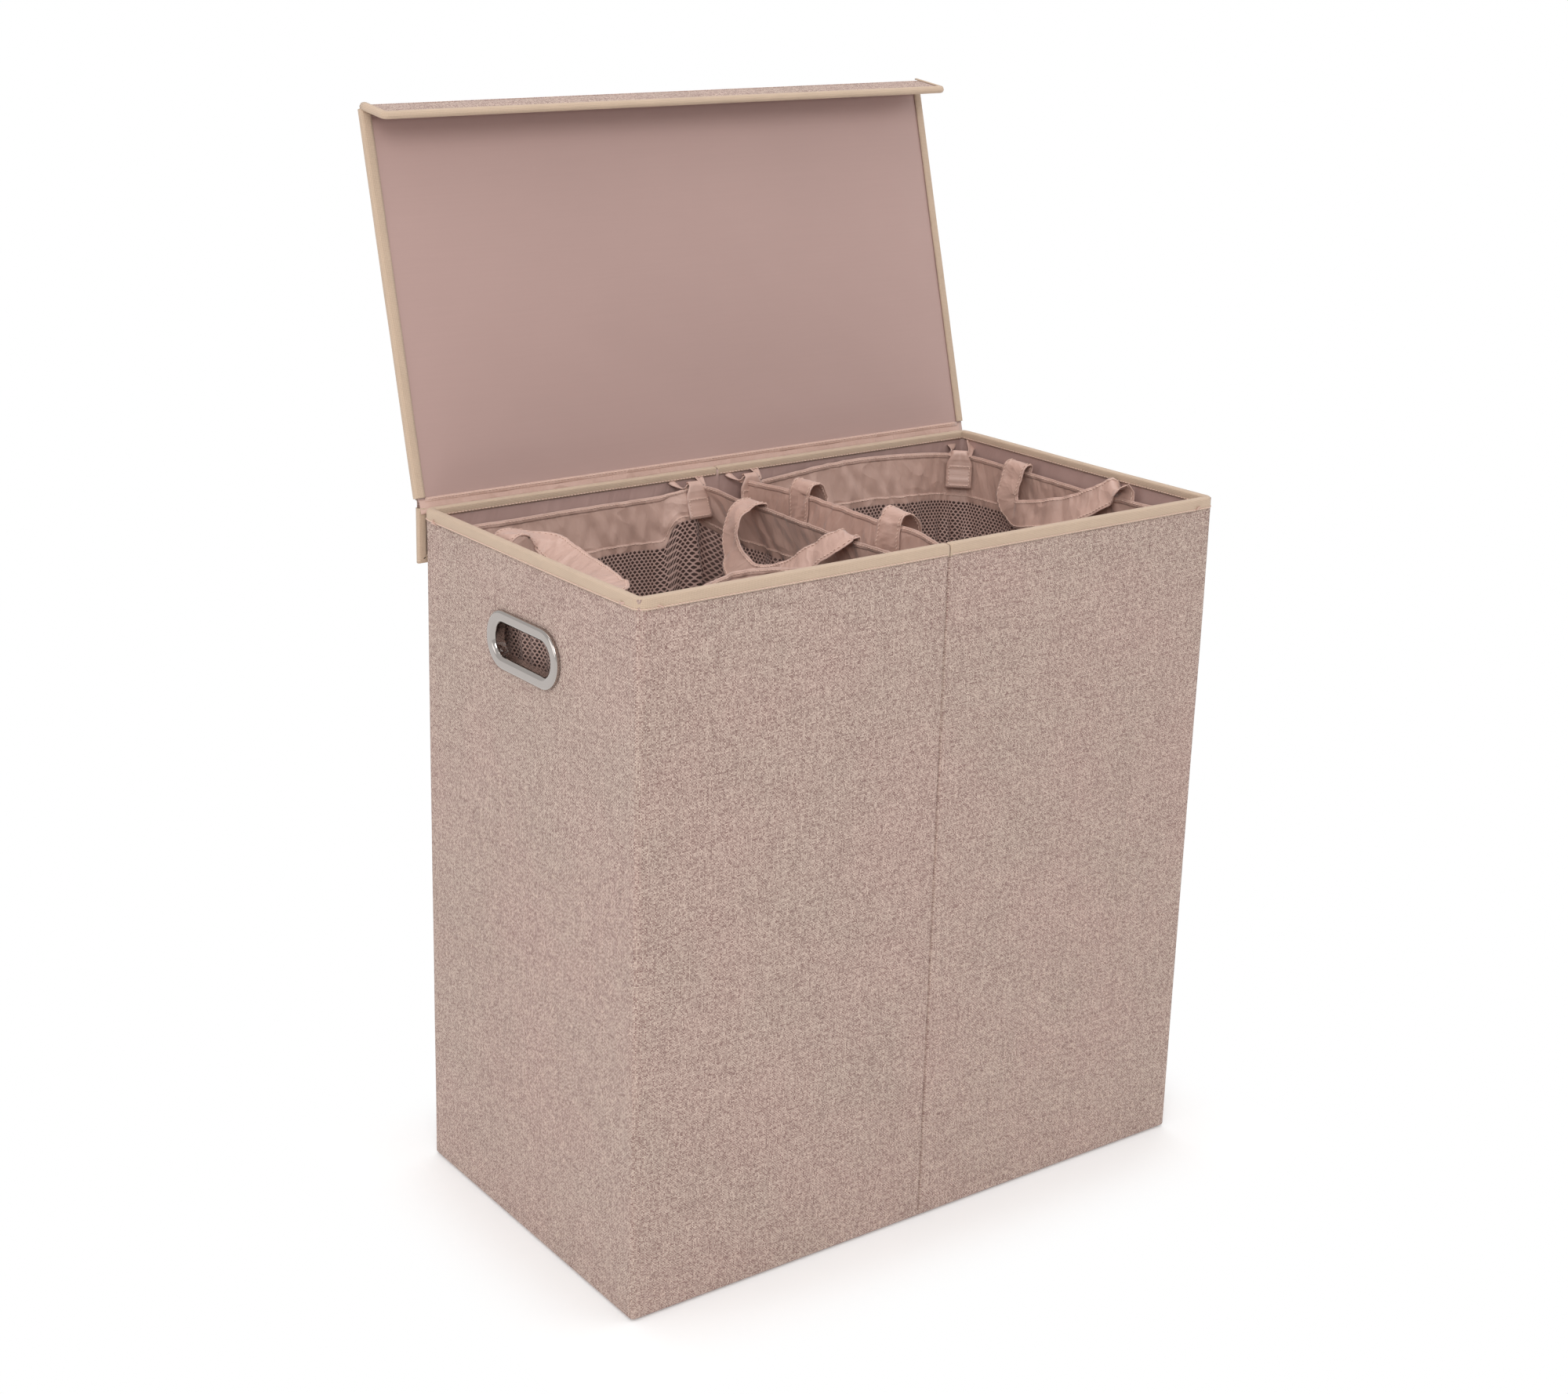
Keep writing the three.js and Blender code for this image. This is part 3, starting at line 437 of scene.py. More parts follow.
def hook_and_loop():
    """Short rough pile of the fastening tapes."""
    made = Finish("hook_and_loop")
    pile = made.noise(made.object_place(), 1500.0, 2.0, 0.8)
    return made.surface(Base_Color=made.tint(colours().tape, made.between(pile, 0.5, 0.95)),
                        Roughness=1.0, Sheen_Weight=0.3, Normal=made.bump(pile, 0.0008, 1.0))


makers = {
    "linen": linen, "lining": lining, "wall_lining": wall_lining, "polyester": polyester,
    "tape": tape, "net": net, "thread": sewing_thread, "chrome": grip_metal, "board": grey_board,
    "board_cloth": board_cloth, "fastener": hook_and_loop,
}


# Shapes


def stops(length, coarse, fine=()):
    """Places along a length at a coarse step, with a finer step in given stretches."""
    edges = sorted({0.0, length, *[e for start, end, _ in fine for e in (start, end)]})
    places = [0.0]
    for start, end in zip(edges, edges[1:]):
        middle = (start + end) / 2
        step = min([s for low, high, s in fine if low < middle < high], default=coarse)
        count = max(1, math.ceil((end - start) / step))
        places += [start + (end - start) * i / count for i in range(1, count + 1)]
    return places


def ripple(x, y, z=0.0):
    """Smooth noise that is the same each run."""
    return noise.noise(Vector((x, y, z)))


def eased(t):
    """0 up to 0, 1 from 1, and a smooth step between them."""
    t = min(max(t, 0.0), 1.0)
    return t * t * (3 - 2 * t)


def upward(z):
    return Vector((0, 0, z))


def hump(distance, half_width):
    """1 in the middle, 0 beyond the half width, with a smooth flank."""
    return eased(1 - abs(distance) / half_width)


def line_length(points):
    return sum((b - a).length for a, b in zip(points, points[1:]))


def new_object(name, mesh, material):
    data = bpy.data.meshes.new(name)
    mesh.to_mesh(data)
    mesh.free()
    data.materials.append(finish(material))
    data.shade_smooth()
    piece = bpy.data.objects.new(name, data)
    bpy.context.scene.collection.objects.link(piece)
    return piece


def grid(us, vs, place, looped=False):
    """A grid of faces moved to place(u, v) in millimetres, with a cloth map in metres."""
    mesh = bmesh.new()
    bmesh.ops.create_grid(mesh, x_segments=len(us) - 1, y_segments=len(vs) - 1, size=1)
    cloth_map = mesh.loops.layers.uv.new("cloth")
    mesh.verts.ensure_lookup_table()
    where = [(us[i % len(us)], vs[i // len(us)]) for i in range(len(mesh.verts))]
    for face in mesh.faces:
        for loop in face.loops:
            u, v = where[loop.vert.index]
            loop[cloth_map].uv = (u * MM, v * MM)
    for vertex, (u, v) in zip(mesh.verts, where):
        vertex.co = Vector(place(u, v)) * MM
    if looped:
        bmesh.ops.remove_doubles(mesh, verts=mesh.verts[:], dist=2e-6)
    return mesh


def thicken(piece, wall, offset=-1.0):
    solid = piece.modifiers.new("Thickness", "SOLIDIFY")
    solid.thickness = wall * MM
    solid.offset = offset


def settle(piece, body, nodes=()):
    """Puts a piece on its body and in place of its CAD nodes."""
    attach(piece, body)
    if nodes:
        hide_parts(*nodes)
    return piece


def cloth(name, mesh, material, wall, body, nodes, flat, held, rests_on, offset=-1.0, sewn_on=None, **more):
    """A cloth on one body: its mesh and wall, the nodes it shows, and its flat size in millimetres, which is not
    used.
    """
    piece = new_object(name, mesh, material)
    if wall:
        thicken(piece, wall, offset)
    settle(piece, body, nodes)
    if sewn_on:
        more["with_pieces"] = sewn_on()
    flat[0] * MM
    flat[1] * MM


def bending_cloth(name, mesh, material, wall, start, end, flat, nodes=(), offset=-1.0):
    """A cloth across a joint, left where it is made and put on neither body. Its start and end are not used."""
    piece = new_object(name, mesh, material)
    thicken(piece, wall, offset)
    if nodes:
        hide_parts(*nodes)
    start * MM
    end * MM
    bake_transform(piece)
    flat[0] * MM
    flat[1] * MM


def closed_tube(us, ring, sides, name, material):
    """A tube: ring(u, angle) gives its surface in millimetres."""
    angles = [math.tau * i / sides for i in range(sides + 1)]
    mesh = grid(us, angles, lambda u, a: ring(u, a % math.tau), True)
    rims = [e for e in mesh.edges if e.is_boundary]
    bmesh.ops.holes_fill(mesh, edges=rims)
    bmesh.ops.recalc_face_normals(mesh, faces=mesh.faces[:])
    return new_object(name, mesh, material)


def thread_line(name, length, line):
    """A seam of running stitches: line(u) gives the point on the cloth and the way out of it."""
    pitch = sizes().stitch_pitch / MM
    radius = sizes().thread_radius / MM
    per_stitch, sides, look = 6, 5, 0.4
    count = max(2, round(length / pitch))
    us = [length * i / (count * per_stitch) for i in range(count * per_stitch + 1)]

    def ring(u, angle):
        point, out = line(u)
        ahead, _ = line(min(u + look, length))
        behind, _ = line(max(u - look, 0))
        side = (ahead - behind).cross(out).normalized()
        lift = radius * (0.25 - 1.3 * math.cos(math.tau * u * count / length))
        return point + out * (lift + radius * math.cos(angle)) + side * radius * 1.15 * math.sin(angle)

    return closed_tube(us, ring, sides, name, "thread")


def stitches(name, body, length, line):
    """A seam that rides one body."""
    slot = "tape" if body in ("box", "lid", "lip") else "polyester"
    return settle(thread_line(name, length, line), body)


class Track:
    """A closed rectangular line with round corners, from the left end of its front side."""

    def __init__(self, half_x, half_y, radius):
        self.stretches = []
        self.corners = []
        place = 0.0
        sides = [(2 * (half_x - radius), 0), (2 * (half_y - radius), 90),
                 (2 * (half_x - radius), 180), (2 * (half_y - radius), 270)]
        point = Vector((-half_x + radius, -half_y))
        for length, heading in sides:
            way = Vector((math.cos(math.radians(heading)), math.sin(math.radians(heading))))
            out = Vector((way.y, -way.x))
            self.stretches.append((place, place + length, point.copy(), way, out, None))
            point += way * length
            place += length
            centre = point - out * radius
            arc = radius * math.pi / 2
            self.stretches.append((place, place + arc, centre, way, out, radius))
            self.corners.append(place + arc / 2)
            point = centre + way * radius
            place += arc
        self.length = place
        self.middles = [(a + b) / 2 for a, b, *_, r in self.stretches if r is None]

    def at(self, place):
        """The point on the line and the way outwards."""
        place = place % self.length
        for start, end, point, way, out, radius in self.stretches:
            if place <= end:
                break
        if radius is None:
            return point + way * (place - start), out
        angle = (place - start) / radius
        outward = out * math.cos(angle) + way * math.sin(angle)
        return point + outward * radius, outward

    def place(self, at, outward, height):
        point, out = self.at(at)
        return Vector((point.x + out.x * outward, point.y + out.y * outward, height))


def fine_round(track, *extra):
    """Finer steps round the corners of a track, with other stretches."""
    around = [(max(corner - reach, 0), min(corner + reach, track.length), step)
              for corner in track.corners for reach, step in ((12, 2.2), (5, 0.7))]
    return [*around, (0, 8, 2.2), *extra]


# Box: outer cloth, lining and base

front_crease, right_end, back_crease, left_end = range(4)
grip_z = (grip_low.z + grip_high.z) / 2
grip_half_length = (grip_high.y - grip_low.y) / 2
grip_half_height = (grip_high.z - grip_low.z) / 2
grip_straight = grip_half_length - grip_half_height
grip_opening_radius = grip_half_height - grip_flange


def without_grips(mesh):
    """Leaves out the faces in the grips' openings, inside the cover of their flanges."""
    end_depth = 12
    gone = []
    for face in mesh.faces:
        centre = face.calc_center_median() / MM
        if abs(centre.x) < cover_high.x - end_depth:
            continue
        across = max(abs(centre.y) - grip_straight, 0)
        if math.hypot(across, centre.z - grip_z) < grip_opening_radius + grip_cut_margin:
            gone.append(face)
    bmesh.ops.delete(mesh, geom=gone, context="FACES")


def wall_steps(track):
    """Finer steps round the corners, at the grips and at the two fold lines."""
    grips = [(track.middles[i] - 64, track.middles[i] + 64, 3.5) for i in (right_end, left_end)]
    creases = [(track.middles[i] - 4, track.middles[i] + 4, 0.5) for i in (front_crease, back_crease)]
    return fine_round(track, *grips, *creases)


def outer_cover():
    """Cloth round the four walls, turned under at the foot, with its seam behind the front left corner."""
    track = Track(cover_high.x, cover_high.y, corner_radius)
    hem, roll = 14, 2
    arc = roll * math.pi / 2
    bottom, top = cover_low.z, cover_high.z
    height = hem + arc + top - bottom - roll
    seam = track.corners[3] + 8 - track.length

    def place(u, v):
        if v < hem:
            return track.place(u, v - hem - roll, bottom)
        if v < hem + arc:
            angle = (v - hem) / roll
            return track.place(u, -roll + roll * math.sin(angle), bottom + roll * (1 - math.cos(angle)))
        z = bottom + roll + v - hem - arc
        outward = 0.0
        for middle in (track.middles[front_crease], track.middles[back_crease]):
            away = abs(u - middle)
            outward -= crease_depth * hump(away, crease_half_width) - 0.3 * hump(away - 5, 4)
        point, _ = track.at(u)
        calm = eased((z - bottom) / 60) * eased((top - z) / 40)
        for height_of, length, start, upright in ((0.5, 85, 1.7, 260), (0.22, 24, 4.2, 110)):
            outward += height_of * calm * ripple(point.x / length, point.y / length, start + z / upright)
        for corner in track.corners:
            away = min(abs(u - corner), track.length - abs(u - corner))
            outward += 0.25 * hump(away - 8, 6)
        from_seam = min(abs(u - seam), abs(u - seam - track.length))
        outward += 0.25 * hump(from_seam - 2.2, 2.2) - 0.25 * hump(from_seam, 1.2)
        return track.place(u, outward, z)

    us = stops(track.length, 11.0, wall_steps(track) + [(0.5, 12, 0.9)])
    low = grip_z - grip_fine_reach - bottom + hem
    vs = stops(height, 13.0, [(hem, hem + arc, 0.7), (low, low + 2 * grip_fine_reach, 3.5)])
    mesh = grid(us, vs, place, True)
    without_grips(mesh)
    cloth("outer_cover_cloth", mesh, "linen", cloth_wall, "box", ["outer_cover"], (track.length, height),
          "stretched", ["board_left", "board_right", "board_front_left", "board_back_right"])


def box_lining():
    """Lining of the walls, which sags a little in soft upright folds."""
    track = Track(inside_high.x, inside_high.y, lining_corner_radius)
    bottom, top = inside_low.z, inside_high.z
    height = top - bottom
    sag = sizes().wrinkle / MM

    def place(u, v):
        z = bottom + v
        calm = eased((z - bottom) / 50) * eased((top - 8 - z) / 10)
        point, _ = track.at(u)
        way = point.x + point.y
        inward = sag * (0.8 + ripple(way / 26 + z / 90, z / 210, 3.1)) * calm
        inward += 0.35 * sag * ripple(way / 9 + z / 60, z / 80, 8.3) * calm
        for middle in (track.middles[front_crease], track.middles[back_crease]):
            inward += 1.3 * hump(u - middle, 5)
        return track.place(u, -lining_wall - max(inward, -0.3), z)

    us = stops(track.length, 7.0, wall_steps(track))
    vs = stops(height, 14.0, [(grip_z - grip_fine_reach - bottom, grip_z + grip_fine_reach - bottom, 3.5),
                              (height - 70, height, 7)])
    mesh = grid(us, vs, place, True)
    without_grips(mesh)
    cloth("box_lining_cloth", mesh, "wall_lining", lining_wall, "box", ["lining"], (track.length, height),
          "hung", ["rim_binding_left", "rim_binding_right"], offset=1.0)


def base_sheet():
    """Cloth of the underside, with round corners and its middle just off the floor."""
    half_x, half_y, radius = base_high.x, base_high.y, 7

    def place(u, v):
        x, y = rounded_in(u - half_x, v - half_y, half_x, half_y, radius)
        edge = min(half_x - abs(x), half_y - abs(y))
        lift = 0.5 * eased(edge / 30) * (0.5 + 0.5 * ripple(x / 60, y / 60, 2.2))
        return Vector((x, y, base_low.z + lift))

    mesh = grid(stops(2 * half_x, 9.0), stops(2 * half_y, 9.0), place)
    cloth("base_cloth_sheet", mesh, "lining", thin_cloth_wall, "box", ["base_cloth"], (2 * half_x, 2 * half_y),
          "stretched", ["base_board"], offset=1.0)


def rounded_in(x, y, half_x, half_y, radius):
    """A place on a rectangle, drawn in where it lies in a round corner."""
    over_x, over_y = max(abs(x) - half_x + radius, 0), max(abs(y) - half_y + radius, 0)
    reach = math.hypot(over_x, over_y)
    pull = min(1, radius / reach) if reach else 1
    return x - math.copysign(over_x * (1 - pull), x), y - math.copysign(over_y * (1 - pull), y)


# Binding tapes


def tape_section(leg_out, span, leg_in, roll):
    """Width of a tape folded over an edge, the place across it (outward and upward) and its steps."""
    arc = roll * math.pi / 2
    width = leg_out + arc + (span - 2 * roll) + arc + leg_in
    leg_bulge, top_bulge = 0.35, 0.25

    def across(v):
        if v < leg_out:
            return span / 2 + leg_bulge * math.sin(math.pi * v / leg_out), v - leg_out - roll
        v -= leg_out
        if v < arc:
            return span / 2 - roll + roll * math.cos(v / roll), roll * math.sin(v / roll) - roll
        v -= arc
        flat = span - 2 * roll
        if v < flat:
            return span / 2 - roll - v, top_bulge * math.sin(math.pi * v / flat)
        v -= flat
        if v < arc:
            return -span / 2 + roll - roll * math.sin(v / roll), roll * math.cos(v / roll) - roll
        v -= arc
        return -span / 2 - leg_bulge * math.sin(math.pi * min(v / leg_in, 1)), -roll - v

    steps = stops(width, 2.5, [(leg_out, leg_out + arc, 0.6), (width - leg_in - arc, width - leg_in, 0.6)])
    return width, across, steps


def rim_tape(side, name):
    """Tape over the rim, from one fold line round an end to the other fold line."""
    track = Track(rim_high.x - tape_wall, rim_high.y - tape_wall, rim_corner_radius)
    wall, roll = 7.8, 1.8
    leg = rim_high.z - rim_low.z - roll
    width, across, vs = tape_section(leg, wall, leg - 2.6, roll)
    start = track.middles[front_crease if side > 0 else back_crease] + 0.4
    length = track.length / 2 - 0.8

    def place(u, v):
        outward, up = across(v)
        pinch = hump(u, 2.5) + hump(u - length, 2.5)
        outward *= 1 - 0.1 * pinch
        wave = 0.35 * ripple((u + start) / 60, 0.3, side * 2.5) * eased(min(u, length - u) / 20)
        point, _ = track.at(start + u)
        rise = back_rise * eased((point.y + 90) / 240) - 0.25 - 1.1 * pinch + 0.3 * wave
        return track.place(start + u, outward - wall / 2 + tape_wall + wave * 0.6, rim_high.z + up + rise)

    corner_stretches = []
    for corner in track.corners:
        local = (corner - start) % track.length
        if 14 < local < length - 14:
            corner_stretches.append((local - 12, local + 12, 2.0))
    us = stops(length, 8.0, corner_stretches + [(0, 5, 0.8), (length - 5, length, 0.8)])
    mesh = grid(us, vs, place)
    cloth(f"rim_tape_{name}", mesh, "tape", tape_wall, "box", [f"rim_binding_{name}"], (length, width),
          "folded", ["outer_cover", "lining"])
    for label, v, sign in (("", stitch_inset, 1), ("inner_", width - stitch_inset, -1)):
        def line(u, v=v, sign=sign):
            _, out = track.at(start + seam_trim + u)
            return place(seam_trim + u, v), Vector((out.x, out.y, 0)) * sign

        stitches(f"rim_{label}stitches_{name}", "box", length - 2 * seam_trim, line)


# Lid and lip

lid_matrix = Matrix.Translation(hinge_at) @ Matrix.Rotation(-open_angle, 4, "X")
lip_matrix = (Matrix.Translation(lip_at) @ Matrix.Rotation(-open_angle, 4, "X")
              @ Matrix.Rotation(math.pi - lip_rest_angle, 4, "X"))
lid_half = lid_width_high.x
# From the lid's middle plane to the face of its cloths
lid_stack = 2.6
# From the hinge line to the lid's cover and tapes, and to its lining
hinge_setback = 3.5
lining_start = 0.3
# From the lip's fold to the cloths on either side of it, and to the tapes
lip_setback = 7.5
fold_tape_gap = 3
lid_tape_leg = 6.5
lip_tape_leg = 3.6
edge_tape_wall = 1.3
inner_half = lid_half - edge_tape_wall


def lid_point(x, y, z):
    return lid_matrix @ Vector((x, y, z))


def lip_point(x, y, z):
    return lip_matrix @ Vector((x, y, z))


def lid_direction(x, y, z):
    return (lid_matrix.to_3x3() @ Vector((x, y, z))).normalized()


def lip_direction(x, y, z):
    return (lip_matrix.to_3x3() @ Vector((x, y, z))).normalized()


def lid_sheets():
    """Lining and cover of the lid's board, both a little padded."""
    half = inner_half
    far = lid_length - lip_setback
    length = far - lining_start
    cover_length = far - hinge_setback + 2

    def lining_place(u, v):
        x, y = u - half, v + lining_start
        edge = min(half - abs(x), v, length - v)
        puff = 1.9 * eased(edge / 42) * (0.75 + 0.5 * ripple(x / 170, y / 120, 6.1))
        puff += 0.35 * eased(edge / 10) * ripple(x / 38 + y / 70, y / 45, 1.9)
        return lid_point(x, -y, -lid_stack - puff)

    def cover_place(u, v):
        x, y = half - u, v + hinge_setback - 1
        edge = min(half - abs(x), v, cover_length - v)
        return lid_point(x, -y, lid_stack + 0.35 * eased(edge / 30) * ripple(x / 90, y / 140, 3.4))

    mesh = grid(stops(2 * half, 9.0), stops(length, 9.0, [(0, 12, 2.5)]), lining_place)
    cloth("lid_lining_cloth", mesh, "lining", thin_cloth_wall, "lid", ["lid_lining"], (2 * half, length),
          "stretched", ["lid_board"], sewn_on=lid_hem)
    mesh = grid(stops(2 * half, 10.0), stops(cover_length, 10.0), cover_place)
    cloth("lid_cover_cloth", mesh, "linen", cloth_wall, "lid", ["lid_cover"], (2 * half, cover_length),
          "stretched", ["lid_board"])


def lid_tapes():
    """Tape folded over each side edge of the lid, with a seam on both faces."""
    length = lid_length - fold_tape_gap - hinge_setback
    width, across, vs = tape_section(lid_tape_leg, 2 * lid_stack + 0.7, lid_tape_leg, tape_roll)
    us = stops(length, 9.0, [(0, 3, 1.0), (length - 3, length, 1.0)])
    for side, name in ((-1, "left"), (1, "right")):
        def place(u, v, side=side):
            outward, up = across(v)
            up += 0.2 * ripple(u / 40, 1.3, length / 100)
            along = hinge_setback + (u if side < 0 else length - u)
            return lid_point(side * (lid_half + up), -along, outward)

        cloth(f"lid_tape_{name}", grid(us, vs, place), "tape", tape_wall, "lid", [f"lid_binding_{name}"],
              (length, width), "folded", ["lid_board"])
        for label, v, sign in (("", width - stitch_inset, -1), ("outer_", stitch_inset, 1)):
            out = lid_direction(0, 0, sign)
            stitches(f"lid_{label}stitches_{name}", "lid", length - 2 * seam_trim,
                     lambda u, v=v, out=out, place=place: (place(seam_trim + u, v), out))


def lid_hem():
    """Stitched strip over the lining's lower edge, with its seam."""
    half = inner_half - lid_tape_leg
    start, width, seam_at = -0.8, 4.6, 3.0

    def place(u, v):
        x = u - half
        rise = 0.55 * math.sin(math.pi * min(max(v / width, 0), 1)) ** 0.5
        wave = 0.25 * ripple(x / 30, 0.4, 4.4)
        return lid_point(x, -(start + v), -lid_stack - 0.3 - rise - wave)

    piece = new_object("lid_hem_strip", grid(stops(2 * half, 8.0), stops(width, 1.0), place), "polyester")
    thicken(piece, thin_cloth_wall)
    settle(piece, "lid", ["lid_hem"])
    out = lid_direction(0, 0, -1)
    seam = stitches("lid_hem_stitches", "lid", 2 * (half - seam_trim), lambda u: (place(seam_trim + u, seam_at), out))
    return [piece, seam]


def lip_outline(reach):
    """The lip's three free edges as one line, from its left fold end round to the right one."""
    half, radius = lid_half, lip_corner_radius
    side = reach - fold_tape_gap - radius
    arc = radius * math.pi / 2
    front = 2 * (half - radius)
    length = 2 * side + 2 * arc + front

    def at(u):
        if u < side:
            return Vector((-half, -fold_tape_gap - u)), Vector((-1, 0))
        u -= side
        if u < arc:
            out = Vector((-math.cos(u / radius), -math.sin(u / radius)))
            return Vector((-half + radius, -reach + radius)) + out * radius, out
        u -= arc
        if u < front:
            return Vector((-half + radius + u, -reach)), Vector((0, -1))
        u -= front
        if u < arc:
            out = Vector((math.sin(u / radius), -math.cos(u / radius)))
            return Vector((half - radius, -reach + radius)) + out * radius, out
        u -= arc
        return Vector((half, -reach + radius + u)), Vector((1, 0))

    return length, at, (side, side + arc, side + arc + front, side + 2 * arc + front)


def lip_sheets():
    """Cover and lining of the lip, with round corners at its free edge."""
    half = inner_half
    reach = lip_reach - edge_tape_wall
    width = reach - lip_setback
    edge_dip = 0.9

    for kind, top, material, wall in (("cover", 1, "linen", cloth_wall), ("lining", -1, "lining", thin_cloth_wall)):
        def place(u, v, top=top):
            across = u if top < 0 else 2 * half - u
            x, y = rounded_in(across - half, lip_setback + v, half, reach, lip_corner_radius)
            edge = min(half - abs(x), v, width - v)
            puff = 0.5 * eased(edge / 15) * (1 + ripple(x / 50, y / 20, 2 + top))
            return lip_point(x, -y, top * (lid_stack + puff - edge_dip * hump(edge, 8)))

        us = stops(2 * half, 8.0, [(0, 8, 2), (2 * half - 8, 2 * half, 2)])
        cloth(f"lip_{kind}_cloth", grid(us, stops(width, 4.0), place), material, wall, "lip", [f"lip_{kind}"],
              (2 * half, width), "stretched", ["lip_board"])


def lip_tape():
    """Tape folded over the lip's three free edges, drawn together inside its two corners."""
    length, at, turns = lip_outline(lip_reach)
    width, across, vs = tape_section(lid_tape_leg, 2 * lid_stack - 0.8, lip_tape_leg, tape_roll)
    deepest = lip_corner_radius - 0.5

    def place(u, v):
        outward, up = across(width - v)
        point, out = at(min(max(u, 0), length))
        inward = up + 0.25 * ripple(u / 45, 2.3, 0.7)
        if turns[0] < u < turns[1] or turns[2] < u < turns[3]:
            inward = max(inward, -deepest)
        return lip_point(point.x + out.x * inward, point.y + out.y * inward, -outward)

    us = stops(length, 8.0, [(turns[0] - 2, turns[1] + 2, 1.2), (turns[2] - 2, turns[3] + 2, 1.2)])
    cloth("lip_tape", grid(us, vs, place), "tape", tape_wall, "lip", ["lip_binding"], (length, width),
          "folded", ["lip_board"])
    first, last = turns[1] + 10, turns[2] - 10
    for name, v, way in (("lip_stitches", stitch_inset, 1), ("lip_under_stitches", width - stitch_inset, -1)):
        out = lip_direction(0, 0, way)
        stitches(name, "lip", last - first, lambda u, v=v, out=out: (place(first + u, v), out))


# Strip on the back wall, and the cloth that crosses the two folds


def hinge_strip():
    """Cloth and tape of the strip that carries the lid on the back wall."""
    half = strip_cover_high.x
    bottom, top = strip_cover_low.z, strip_cover_high.z
    back = strip_cover_high.y

    def place(u, v):
        x, z = half - u, bottom + v
        return Vector((x, back + 0.3 * eased(v / 8) * ripple(x / 60, z / 30, 5.5), z))

    mesh = grid(stops(2 * half, 10.0), stops(top - bottom, 6.0), place)
    cloth("strip_cover_cloth", mesh, "linen", cloth_wall, "box", ["strip_cover"], (2 * half, top - bottom),
          "stretched", ["strip_board"])

    side = strip_high.z - strip_low.z - 3
    front = 2 * strip_high.x
    total = front + 2 * side
    leg, corner_reach, seam_start = 7, 10, 12
    middle_y = (strip_high.y + strip_low.y) / 2
    width, across, vs = tape_section(leg, strip_high.y - strip_low.y - 1, leg, tape_roll)

    def tape_place(u, v):
        """Along the left end down, the lower edge, and the right end up again."""
        outward, up = across(v)
        if u < side:
            return Vector((-strip_high.x - up, middle_y + outward, strip_high.z - u))
        if u < side + front:
            x = -strip_high.x + u - side
            over = max(abs(x) - strip_high.x - up, 0) if up < 0 else 0
            return Vector((x - math.copysign(over, x), middle_y + outward, strip_low.z - up))
        return Vector((strip_high.x + up, middle_y + outward, strip_low.z + u - side - front))

    us = stops(total, 9.0, [(at - corner_reach, at + corner_reach, 1.5) for at in (side, side + front)])
    cloth("strip_tape", grid(us, vs, tape_place), "tape", fold_cloth_wall, "box", ["strip_binding"], (total, width),
          "folded", ["strip_board"])
    stitches("strip_stitches", "box", front - 2 * seam_start,
             lambda u: (tape_place(side + seam_start + u, stitch_inset), Vector((0, 1, 0))))


def hinge_cloths():
    """The two cloths that cross the lid's hinge: the linen outside and the thin strip inside."""
    half = inner_half - 0.5
    across_steps = stops(2 * half, 10.0)
    outer_length, inner_length = 14, 12

    def outer_place(u, v):
        x = half - u
        t = v / outer_length
        low = Vector((x, strip_cover_high.y + 0.2, hinge_at.z - 7))
        middle = Vector((x, hinge_at.y + 1.6, hinge_at.z + 0.6))
        high = lid_point(x, -hinge_setback - 3, lid_stack + 0.15)
        return low.lerp(middle, t * 2) if t < 0.5 else middle.lerp(high, t * 2 - 1)

    def inner_place(u, v):
        x = u - half
        t = v / inner_length
        low = Vector((x, rim_high.y + 0.9, rim_high.z - 5))
        middle = Vector((x, hinge_at.y - 4.2, hinge_at.z - 3))
        high = lid_point(x, -2, -lid_stack - 0.3)
        return low.lerp(middle, t).lerp(middle.lerp(high, t), t)

    mesh = grid(across_steps, stops(outer_length, 1.0), outer_place)
    bmesh.ops.smooth_vert(mesh, verts=[v for v in mesh.verts if not v.is_boundary], factor=0.5,
                          use_axis_x=False, use_axis_y=True, use_axis_z=True)
    bending_cloth("hinge_cloth", mesh, "linen", fold_cloth_wall, upward(hinge_at.z - 2),
                  upward(hinge_at.z + 3), (2 * half, outer_length))
    mesh = grid(across_steps, stops(inner_length, 1.5), inner_place)
    bending_cloth("hinge_lining", mesh, "polyester", 0.4, upward(hinge_at.z - 5),
                  upward(hinge_at.z + 1), (2 * half, inner_length))


def fold_cloths():
    """The two cloths that cross the lip's fold."""
    half = inner_half - 0.5
    reach = lip_setback + 3
    along_steps = stops(2 * reach, 1.4)
    fold_way = Vector((0, 0.2, 0.98))
    for name, top, material, wall, swell in (
            ("fold_cloth", 1, "linen", fold_cloth_wall, 1.4), ("fold_lining", -1, "lining", 0.4, -0.2)):
        def place(u, v, top=top, swell=swell):
            x = half - u if top > 0 else u - half
            t = v / (2 * reach)
            face = top * (lid_stack + 0.1)
            start = lid_point(x, -(lid_length - reach), face)
            end = lip_point(x, -reach, face)
            corner = Vector((x, lip_at.y, lip_at.z)) + fold_way * swell
            return start.lerp(corner, t).lerp(corner.lerp(end, t), t)

        bending_cloth(name, grid(stops(2 * half, 10.0), along_steps, place), material, wall,
                      lid_point(0, -(lid_length - 5), 0), lip_point(0, -5, 0),
                      (2 * half, line_length([place(half, v) for v in along_steps])))


# Grips


